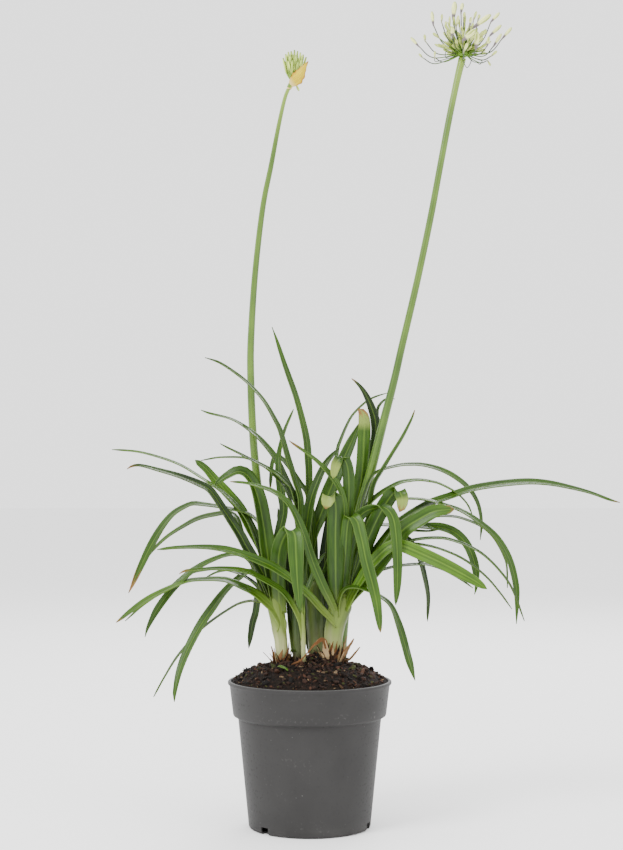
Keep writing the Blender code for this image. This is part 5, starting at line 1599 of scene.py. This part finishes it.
def ring_sleeve(cloth: Cloth, centre: Callable, girth: tuple, top: Callable, low: float, tone: float) -> None:
    """An open sleeve round a shoot or stalk, with a ragged top.

    Args:
        cloth: where it goes.
        centre: gives x and y arrays from z.
        girth: half widths.
        top: gives the top's height from the turn.
        low: height of its foot.
        tone: colour tone.
    """
    def place(u: np.ndarray, v: np.ndarray) -> tuple:
        """Bend the grid into the sleeve."""
        turn = 2 * math.pi * u
        z = low + (top(turn) - low) * v
        x, y = centre(z)
        flare = 1 + 0.02 * np.sin(turn * 5 + v * 3)
        points = np.column_stack([x + girth[0] * flare * np.cos(turn),
                                  y + girth[1] * flare * np.sin(turn), z])
        return points, {"along": v * 0.12, "across": 0.5 * np.sin(turn * 3), "tone": tone}

    cloth.grid(44, 8, place)


@dataclass(frozen=True)
class Spathe:
    """The papery bract under the half-open head.

    Args:
        radius: the sleeve's radius round the stalk's top.
        drop: how far the sleeve's foot and top are under the stalk's top.
        lean: how far the sleeve's foot stands off to the left and back.
        skin: thickness of the paper.
    """

    radius: float = 0.0023
    drop: tuple = (0.0052, 0.0008)
    lean: tuple = (0.0024, -0.0009)
    skin: float = 0.0006

    def make(self, palette: Palette, top: Vector) -> bpy.types.Object:
        """Build it round the stalk's top.

        Args:
            palette: the finishes.
            top: the stalk's top.
        Returns:
            The piece.
        """
        cloth = Cloth()
        low, high = top.z - self.drop[0], top.z - self.drop[1]

        def centre(z: np.ndarray) -> tuple:
            """The stalk's middle at a height."""
            under = 1 - (z - low) / (high - low)
            return top.x - self.lean[0] * under, top.y - self.lean[1] * under

        ring_sleeve(cloth, centre, (self.radius, self.radius), lambda t: np.full_like(t, high), low, 0.5)
        pouch = seen((290.4, 84.6, -3.4), (295.6, 79.6, -8.5), (299.8, 74.4, -12.5), (303.8, 67.8, -14.5),
                     (308.2, 61.2, -14.5))
        Strip(pouch, (0.62, 0.1, -0.78), (0.0068, 0.0135, 0.0112, 0.0056, 0.0005), (-0.3, 1, 0), 0.16, 0.5,
              columns=10, rows=40).sew(cloth)
        LOG.info("spathe")
        return cloth.finish("spathe_paper", [palette.bract], thickness=self.skin)


@dataclass(frozen=True)
class DrySheath:
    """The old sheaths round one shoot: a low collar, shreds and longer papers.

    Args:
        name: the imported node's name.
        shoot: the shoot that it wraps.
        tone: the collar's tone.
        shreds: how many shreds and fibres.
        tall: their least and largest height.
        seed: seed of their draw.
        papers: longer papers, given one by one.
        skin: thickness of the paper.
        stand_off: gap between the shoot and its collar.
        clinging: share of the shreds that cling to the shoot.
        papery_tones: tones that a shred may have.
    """

    name: str
    shoot: Shoot
    tone: float
    shreds: int
    tall: tuple
    seed: int
    papers: tuple
    skin: float
    stand_off: float = 0.00085
    clinging: float = 0.65
    papery_tones: tuple = (0.08, 0.16, 0.25, 0.38, 0.55, 0.75, 0.92)

    def _shreds(self, cloth: Cloth) -> None:
        """Torn shreds and fibres that stand round the shoot's foot."""
        chance = random.Random(self.seed)
        base = sight(self.shoot.foot[0], GROUND_ROW, self.shoot.foot[1])
        half_wide, half_deep = (girth * MM for girth in self.shoot.girth)
        for i in range(self.shreds):
            turn = 2 * math.pi * (i + chance.uniform(-0.4, 0.4)) / self.shreds
            way = Vector((math.cos(turn), math.sin(turn), 0.0))
            tangent = Vector((-way.y, way.x, 0))
            cling = chance.random() < self.clinging
            out = 0.0006 if cling else 0.0016
            foot = base + Vector((way.x * (half_wide + out), way.y * (half_deep + out), 0))
            foot.z = chance.uniform(0.163, 0.170)
            height = chance.uniform(*self.tall) * (1.0 if cling else 0.75)
            lean = chance.uniform(0.02, 0.16) if cling else chance.uniform(0.35, 0.9)
            side = tangent + Vector((0, 0, chance.uniform(-0.3, 0.3)))
            drift = tangent * chance.uniform(-0.28, 0.28) * height
            points = [foot + (way * lean * s ** 1.6 + Vector((0, 0, s))) * height + drift * s * s
                      for s in (0.0, 0.35, 0.7, 1.0)]
            wide = chance.uniform(0.0022, 0.0062) if cling else chance.uniform(0.0008, 0.0022)
            widths = (wide, wide * 1.1, wide * chance.uniform(0.4, 0.9), 0.0003)
            tone, curl = chance.choice(self.papery_tones), chance.uniform(0, 0.3)
            Strip(points, tuple(side), widths, tuple(-way), 0.14, tone, curl, 5, 12).sew(cloth)

    def _collar(self, cloth: Cloth) -> None:
        """The low collar with its ragged top."""
        base = sight(self.shoot.foot[0], GROUND_ROW, self.shoot.foot[1])
        girth = tuple(half * MM + self.stand_off for half in self.shoot.girth)

        def top(turn: np.ndarray) -> np.ndarray:
            """Height of the ragged top."""
            return 0.1748 + 0.0016 * np.sin(turn * 7 + self.tone * 5) * np.cos(turn * 3)

        ring_sleeve(cloth, lambda z: (base.x, base.y), girth, top, 0.1560, self.tone)

    def make(self, palette: Palette) -> bpy.types.Object:
        """Build the sheaths."""
        cloth = Cloth()
        self._collar(cloth)
        self._shreds(cloth)
        for paper in self.papers:
            paper.sew(cloth)
        LOG.info("%s: %d shreds", self.name, self.shreds)
        return cloth.finish(self.name + "_paper", [palette.dry], thickness=self.skin)


LEFT_TUFT = Strip(seen((274.6, 663, -9), (274.0, 657, -10), (272.6, 650, -11), (271.2, 646, -11)),
                  (0.5, 1, 0), (0.004, 0.004, 0.003, 0.0006), (-1, -0.4, 0), 0.12, 0.4, 0.2)
LONG_FIBRE = Strip(seen((326.5, 648, -12.6), (324, 640.5, -14.5), (319, 640.5, -19), (313, 647, -24),
                        (307, 654, -27), (300, 661, -29), (291, 664.6, -31)),
                   (0.6, 0.5, 0.7), (0.0046, 0.0042, 0.0038, 0.0036, 0.0032, 0.0026, 0.0008), (0, -1, 1),
                   0.18, 0.48, columns=6, rows=60)
PALE_PAPER = Strip(seen((326.5, 662.5, -9.6), (326.0, 656, -11.2), (325.5, 648, -12.6), (324.2, 638.5, -14)),
                   (1, -0.35, 0), (0.0075, 0.008, 0.006, 0.0010), (-0.3, -1, 0), 0.06, 0.95, 0.12, 10, 30)
SIDE_PAPER = Strip(seen((341.0, 663.0, -9.7), (344.5, 653, -13.0), (348, 647, -14.4), (351, 643, -15.2),
                        (354, 638.5, -15.6)),
                   (1, 0.35, 0.6), (0.004, 0.006, 0.005, 0.0035, 0.0006), (0, -1, 0), 0.14, 0.6, 0.1, 8, 30)
TWIG = Strip(seen((344.2, 661, -3), (349.5, 659, -5), (354.5, 653.5, -5), (360, 647, -6)),
             (0.5, 0.5, -0.7), (0.0030, 0.0026, 0.0024, 0.0010), (0, -1, 0), 0.2, 0.62, columns=6, rows=30)


# Pot and soil

def new_object(name: str, work: bmesh.types.BMesh,
               material: bpy.types.Material | None = None) -> bpy.types.Object:
    """Turn a bmesh into an object in the scene, and free it.

    Args:
        name: the object's name.
        work: the bmesh.
        material: its finish, if it has one.
    Returns:
        The object.
    """
    data = bpy.data.meshes.new(name)
    work.to_mesh(data)
    work.free()
    if material:
        data.materials.append(material)
    piece = bpy.data.objects.new(name, data)
    bpy.context.scene.collection.objects.link(piece)
    return piece


@dataclass(frozen=True)
class NurseryPot:
    """The turned plastic pot.

    Args:
        steps: faces round.
        span: longest span of the profile.
        crease: angle above which an edge is sharp.
    """

    steps: int = 144
    span: float = 0.012
    crease: float = 38.0

    OUTSIDE: ClassVar[tuple] = (
        (0.0, 0.0), (FOOT_RADIUS - 0.0022, 0.0), (FOOT_RADIUS - 0.0006, 0.0004), (FOOT_RADIUS, 0.0016),
        (FOOT_RADIUS + 0.0004, 0.0060), (BODY_TOP_RADIUS - 0.0004, COLLAR_Z - 0.0060),
        (BODY_TOP_RADIUS, COLLAR_Z - 0.0030), (COLLAR_RADIUS - 0.0006, COLLAR_Z - 0.0004),
        (COLLAR_RADIUS, COLLAR_Z + 0.0008), (COLLAR_TOP_RADIUS, RIM_Z - LIP_HEIGHT - 0.0016),
        (RIM_RADIUS - 0.0003, RIM_Z - LIP_HEIGHT), (RIM_RADIUS, RIM_Z - LIP_HEIGHT + 0.0006),
        (RIM_RADIUS, RIM_Z - 0.0008), (RIM_RADIUS - 0.0008, RIM_Z), (RIM_RADIUS - 0.0030, RIM_Z),
        (RIM_RADIUS - 0.0036, RIM_Z - 0.0010))
    INSIDE: ClassVar[tuple] = (
        (COLLAR_RADIUS - WALL - 0.0002, COLLAR_Z + 0.0030), (BODY_TOP_RADIUS - WALL, COLLAR_Z - 0.0030),
        (FOOT_RADIUS - WALL, FLOOR), (0.0, FLOOR))

    def make(self, palette: Palette) -> bpy.types.Object:
        """Spin the profile and cut the drain notches."""
        work = bmesh.new()
        names = {name: work.verts.layers.float.new(name) for name in ("across", "pale")}
        points = [work.verts.new((r, 0.0, z)) for r, z in self._fine(self.OUTSIDE + self.INSIDE)]
        edges = [work.edges.new(pair) for pair in zip(points, points[1:])]
        bmesh.ops.spin(work, geom=points + edges, cent=(0, 0, 0), axis=(0, 0, 1), angle=2 * math.pi,
                       steps=self.steps, use_merge=True)
        bmesh.ops.remove_doubles(work, verts=work.verts[:], dist=1e-5)
        bmesh.ops.recalc_face_normals(work, faces=work.faces[:])
        for vert in work.verts:
            x, y, z = vert.co
            vert[names["across"]] = math.atan2(y, x) / (2 * math.pi)
            # The rim's top is marked pale for the painted highlight in the pot's finish.
            on_rim = z > RIM_Z - 0.0006 and math.hypot(x, y) > RIM_RADIUS - 0.004
            vert[names["pale"]] = 1.0 if on_rim else 0.0
        pot = new_object("nursery_pot", work, palette.pot)
        self._notch(pot)
        pot.data.polygons.foreach_set("use_smooth", [True] * len(pot.data.polygons))
        pot.data.set_sharp_from_angle(angle=math.radians(self.crease))
        LOG.info("pot: %d faces", len(pot.data.polygons))
        return pot

    def _fine(self, profile: tuple) -> list:
        """Long spans of the profile cut in short ones.

        Args:
            profile: points as (radius, height).
        Returns:
            More points on the same outline.
        """
        out = [profile[0]]
        for (r0, z0), (r1, z1) in zip(profile, profile[1:]):
            count = max(1, int(math.hypot(r1 - r0, z1 - z0) / self.span))
            out += [(r0 + (r1 - r0) * k / count, z0 + (z1 - z0) * k / count) for k in range(1, count + 1)]
        return out

    @staticmethod
    def _notch(pot: bpy.types.Object) -> None:
        """Cut the drain notches out of the foot, open at its edge."""
        work = bmesh.new()
        wide, deep, high = NOTCH_SIZE
        under = 0.001
        for angle in NOTCH_ANGLES:
            turn = math.radians(angle)
            for vert in bmesh.ops.create_cube(work, size=1.0)["verts"]:
                x, y, z = vert.co
                out, across = FOOT_RADIUS + y * deep, x * wide
                vert.co = (math.sin(turn) * out + math.cos(turn) * across,
                           -math.cos(turn) * out + math.sin(turn) * across,
                           (z + 0.5) * (high + FLOOR + under) - under)
        bmesh.ops.recalc_face_normals(work, faces=work.faces[:])
        cutter = new_object("notch_cut", work)
        cut = pot.modifiers.new("notches", "BOOLEAN")
        cut.operation, cut.object, cut.solver = "DIFFERENCE", cutter, "EXACT"
        mesh = bpy.data.meshes.new_from_object(pot.evaluated_get(bpy.context.evaluated_depsgraph_get()))
        pot.modifiers.clear()
        pot.data = mesh
        bpy.data.objects.remove(cutter, do_unlink=True)


@dataclass(frozen=True)
class SoilBed:
    """The crumbly soil: a fine mound and loose bits.

    Args:
        radius: the mound's radius at the pot's wall.
        top_share: share of the grid that is the mound, and the rest its skirt.
        skirt: how far the skirt goes down.
        crumbs: how many loose bits.
        spread_crumbs: how many of them lie all over, and the rest in the heap.
        heap_radius: radius of the heap among the shoots.
        heap_height: its height.
    """

    radius: float = 0.0807
    top_share: float = 0.86
    skirt: float = 0.03
    crumbs: int = 2300
    spread_crumbs: int = 1750
    heap_radius: float = 0.038
    heap_height: float = 0.0070

    PROFILE: ClassVar[tuple] = (
        (0.0, 0.1704), (0.012, 0.1702), (0.024, 0.1698), (0.036, 0.1684), (0.048, 0.1660), (0.059, 0.1628),
        (0.068, 0.1588), (0.0760, 0.1536), (0.0807, 0.1506))

    def height(self, r: np.ndarray) -> np.ndarray:
        """Height of the mound at a radius."""
        return np.interp(r, *zip(*self.PROFILE))

    def make(self, palette: Palette) -> tuple:
        """Build the mound and its crumbs."""
        cloth = Cloth()

        def place(u: np.ndarray, v: np.ndarray) -> tuple:
            """Bend the grid into a rough mound with a skirt."""
            turn = 2 * math.pi * u
            r = self.radius * np.clip(v / self.top_share, 0, 1)
            points = np.column_stack([r * np.cos(turn), r * np.sin(turn), self.height(r)])
            for i, p in enumerate(points):
                spot = Vector(p)
                bump = noise.noise(spot * 160) * 0.0016 + noise.noise(spot * 420) * 0.0008
                points[i, 2] += bump * (1.0 if r[i] < 0.078 else 0.3)
            skirt = np.clip((v - self.top_share) / (1 - self.top_share), 0, 1) * self.skirt
            points[:, :2] *= (1 - skirt)[:, None]
            points[:, 2] -= skirt
            return points, {"tone": 0.3}

        cloth.grid(150, 72, place)
        seam = [v for v in cloth.mesh.verts if abs(v.co.y) < 1e-6 and v.co.x > -1e-6]
        bmesh.ops.remove_doubles(cloth.mesh, verts=seam, dist=1e-6)
        return cloth.finish("soil_bed", [palette.soil]), self._crumbs(palette)

    def _crumbs(self, palette: Palette) -> bpy.types.Object:
        """Loose bits of bark and peat over the mound."""
        chance = random.Random(11)
        work = bmesh.new()
        tone = work.verts.layers.float.new("tone")
        for i in range(self.crumbs):
            r = 0.0815 * math.sqrt(chance.random())
            turn = chance.uniform(0, 2 * math.pi)
            size = chance.uniform(0.0008, 0.0020) * (1.0 if chance.random() < 0.91 else 2.0)
            pile = self.heap_height * chance.random()
            heaped = i > self.spread_crumbs
            if heaped:
                r = 0.036 * math.sqrt(chance.random())
            made = bmesh.ops.create_icosphere(work, subdivisions=1, radius=1.0)["verts"]
            stretch = (chance.uniform(0.7, 1.9), chance.uniform(0.5, 1.0), chance.uniform(0.45, 0.9))
            spin, tilt = chance.uniform(0, math.pi), chance.uniform(-0.7, 0.7)
            r = min(r, 0.0803 - size * 1.5)
            pile *= max(0.0, 1 - (r / self.heap_radius) ** 2) if heaped else 0.0
            level = float(self.height(r)) + size * 0.30 + pile
            centre = Vector((r * math.cos(turn), r * math.sin(turn), level))
            shade = chance.random()
            for vert in made:
                p = vert.co * (1 + 0.25 * noise.noise(vert.co * 1.7 + Vector((i, 0, 0))))
                x, y, z = (p[axis] * stretch[axis] * size for axis in range(3))
                vert.co = centre + Vector((x * math.cos(spin) - y * math.sin(spin),
                                           x * math.sin(spin) + y * math.cos(spin), z + x * tilt))
                vert[tone] = shade
        LOG.info("soil: %d crumbs", self.crumbs)
        return new_object("soil_crumbs", work, palette.crumb)


@dataclass(frozen=True)
class LeafScrap:
    """The scrap of leaf on the soil.

    Args:
        skin: its thickness.
    """

    skin: float = 0.0007

    def make(self, palette: Palette) -> bpy.types.Object:
        """Build it."""
        cloth = Cloth()
        Strip(seen((278.5, 666.1, -40), (281.5, 666.7, -42), (285, 668.3, -45), (288, 671.1, -48)),
              (0, 1, 0.1), (0.004, 0.0075, 0.007, 0.0015), (0, -0.2, 1), 0.05, 0.6, 0.1, rows=20).sew(cloth)
        LOG.info("leaf scrap")
        return cloth.finish("leaf_scrap_blade", [palette.leaf], thickness=self.skin)


# Studio

@dataclass(frozen=True)
class Studio:
    """Floor, lights and camera.

    Args:
        lamps: name, place, target, size and power of each light.
        daylight: strength of the white surround.
        floor_white: how white the floor is.
        floor_size: its half width.
        floor_drop: how far it lies under the pot.
        sensor: height of the camera's sensor in millimetres.
    """

    lamps: tuple = (("key", (-1.5, -1.5, 2.1), (0, 0, 0.35), 1.0, 78.0),
                    ("fill", (2.1, -1.5, 1.2), (0, 0, 0.35), 1.6, 20.0),
                    ("back", (0.5, 1.9, 1.9), (0, 0, 0.4), 1.2, 40.0))
    daylight: float = 2.1
    floor_white: float = 0.93
    floor_size: float = 14.0
    floor_drop: float = 0.0003
    sensor: float = 24.0

    def make(self) -> None:
        """Set up the stage."""
        self._floor()
        for lamp in self.lamps:
            self._light(*lamp)
        world = bpy.data.worlds.new("studio")
        world.use_nodes = True
        backdrop = world.node_tree.nodes["Background"]
        backdrop.inputs[0].default_value = (1.0, 1.0, 1.0, 1.0)
        backdrop.inputs[1].default_value = self.daylight
        bpy.context.scene.world = world
        self._camera()

    def _floor(self) -> None:
        """A plain pale floor."""
        work = bmesh.new()
        bmesh.ops.create_grid(work, x_segments=2, y_segments=2, size=self.floor_size)
        paint = Paint("floor_white", 0.9)
        paint.shader.inputs["Base Color"].default_value = (*[self.floor_white] * 3, 1.0)
        floor = new_object("floor", work, paint.material)
        floor.location.z = -self.floor_drop

    @staticmethod
    def _light(name: str, spot: tuple, aim: tuple, size: float, power: float) -> None:
        """One soft square light.

        Args:
            name: the lamp's name.
            spot: its place.
            aim: where it points.
            size: its side.
            power: its power in watts.
        """
        data = bpy.data.lights.new(name, "AREA")
        data.size = size
        data.energy = power
        lamp = bpy.data.objects.new(name, data)
        lamp.location = spot
        lamp.rotation_euler = (Vector(aim) - Vector(spot)).to_track_quat("-Z", "Y").to_euler()
        bpy.context.scene.collection.objects.link(lamp)

    def _camera(self) -> None:
        """The camera at the photograph's angle, with a small shift."""
        data = bpy.data.cameras.new("camera")
        data.sensor_fit = "VERTICAL"
        data.sensor_height = self.sensor
        data.lens = FOCAL * self.sensor / PICTURE[1]
        data.shift_x = (PICTURE[0] / 2 - AXIS_PX) / PICTURE[1]
        data.shift_y = (LEVEL_PY - PICTURE[1] / 2) / PICTURE[1]
        data.clip_start = 0.05
        camera = bpy.data.objects.new("camera", data)
        camera.location = (0.0, -EYE_BACK, EYE_UP)
        camera.rotation_euler = (math.radians(90.0), 0.0, 0.0)
        bpy.context.scene.collection.objects.link(camera)
        bpy.context.scene.camera = camera


def claim(piece: bpy.types.Object, node: str, finish: Finish) -> None:
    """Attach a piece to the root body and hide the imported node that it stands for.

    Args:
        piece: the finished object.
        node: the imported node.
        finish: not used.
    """
    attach(piece, "root")
    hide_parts(node)


# How light and how whitish each shoot's foot is; the centre foot's very dark tone is painted shade
FOOT_LOOKS = {"shoot_left": (0.75, 1.0), "shoot_centre": (0.05, 0.15), "shoot_small": (0.7, 0.8),
              "shoot_back": (0.35, 0.35), "shoot_right": (0.62, 0.75)}


def main() -> None:
    """Dress the whole plant."""
    logging.basicConfig(level=logging.INFO, format="%(message)s")
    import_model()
    Studio().make()
    palette = Palette()
    claim(NurseryPot().make(palette), "pot", Finish.POT)
    for piece in SoilBed().make(palette):
        claim(piece, "soil", Finish.SOIL)
    for shoot in SHOOTS:
        finish = Finish.DARK_LEAF if shoot.name == "shoot_centre" else Finish.LEAF
        for piece in LeafyShoot(shoot, *FOOT_LOOKS[shoot.name]).make(palette):
            claim(piece, shoot.name, finish)
    left, right = Stalk("stalk_left", LEFT_STALK, 0.2), Stalk("stalk_right", RIGHT_STALK, 0.7)
    claim(left.make(palette), "stalk_left", Finish.STALK)
    claim(right.make(palette), "stalk_right", Finish.STALK)
    claim(OpenHead().make(palette), "umbel", Finish.BUD)
    claim(ClosedHead().make(palette), "bud_head", Finish.GREEN_BUD)
    claim(Spathe().make(palette, left.top), "spathe", Finish.BRACT)
    left_dry = DrySheath("dry_sheath_left", SHOOTS[0], 0.30, 34, (0.011, 0.0215), 4, (LEFT_TUFT,), 0.0006)
    right_dry = DrySheath("dry_sheath_right", SHOOTS[4], 0.25, 64, (0.013, 0.0290), 9,
                          (LONG_FIBRE, PALE_PAPER, SIDE_PAPER, TWIG), 0.0007)
    claim(left_dry.make(palette), "dry_sheath_left", Finish.DRY)
    claim(right_dry.make(palette), "dry_sheath_right", Finish.DRY)
    claim(LeafScrap().make(palette), "leaf_scrap", Finish.SCRAP)


if __name__ == "__main__":
    main()
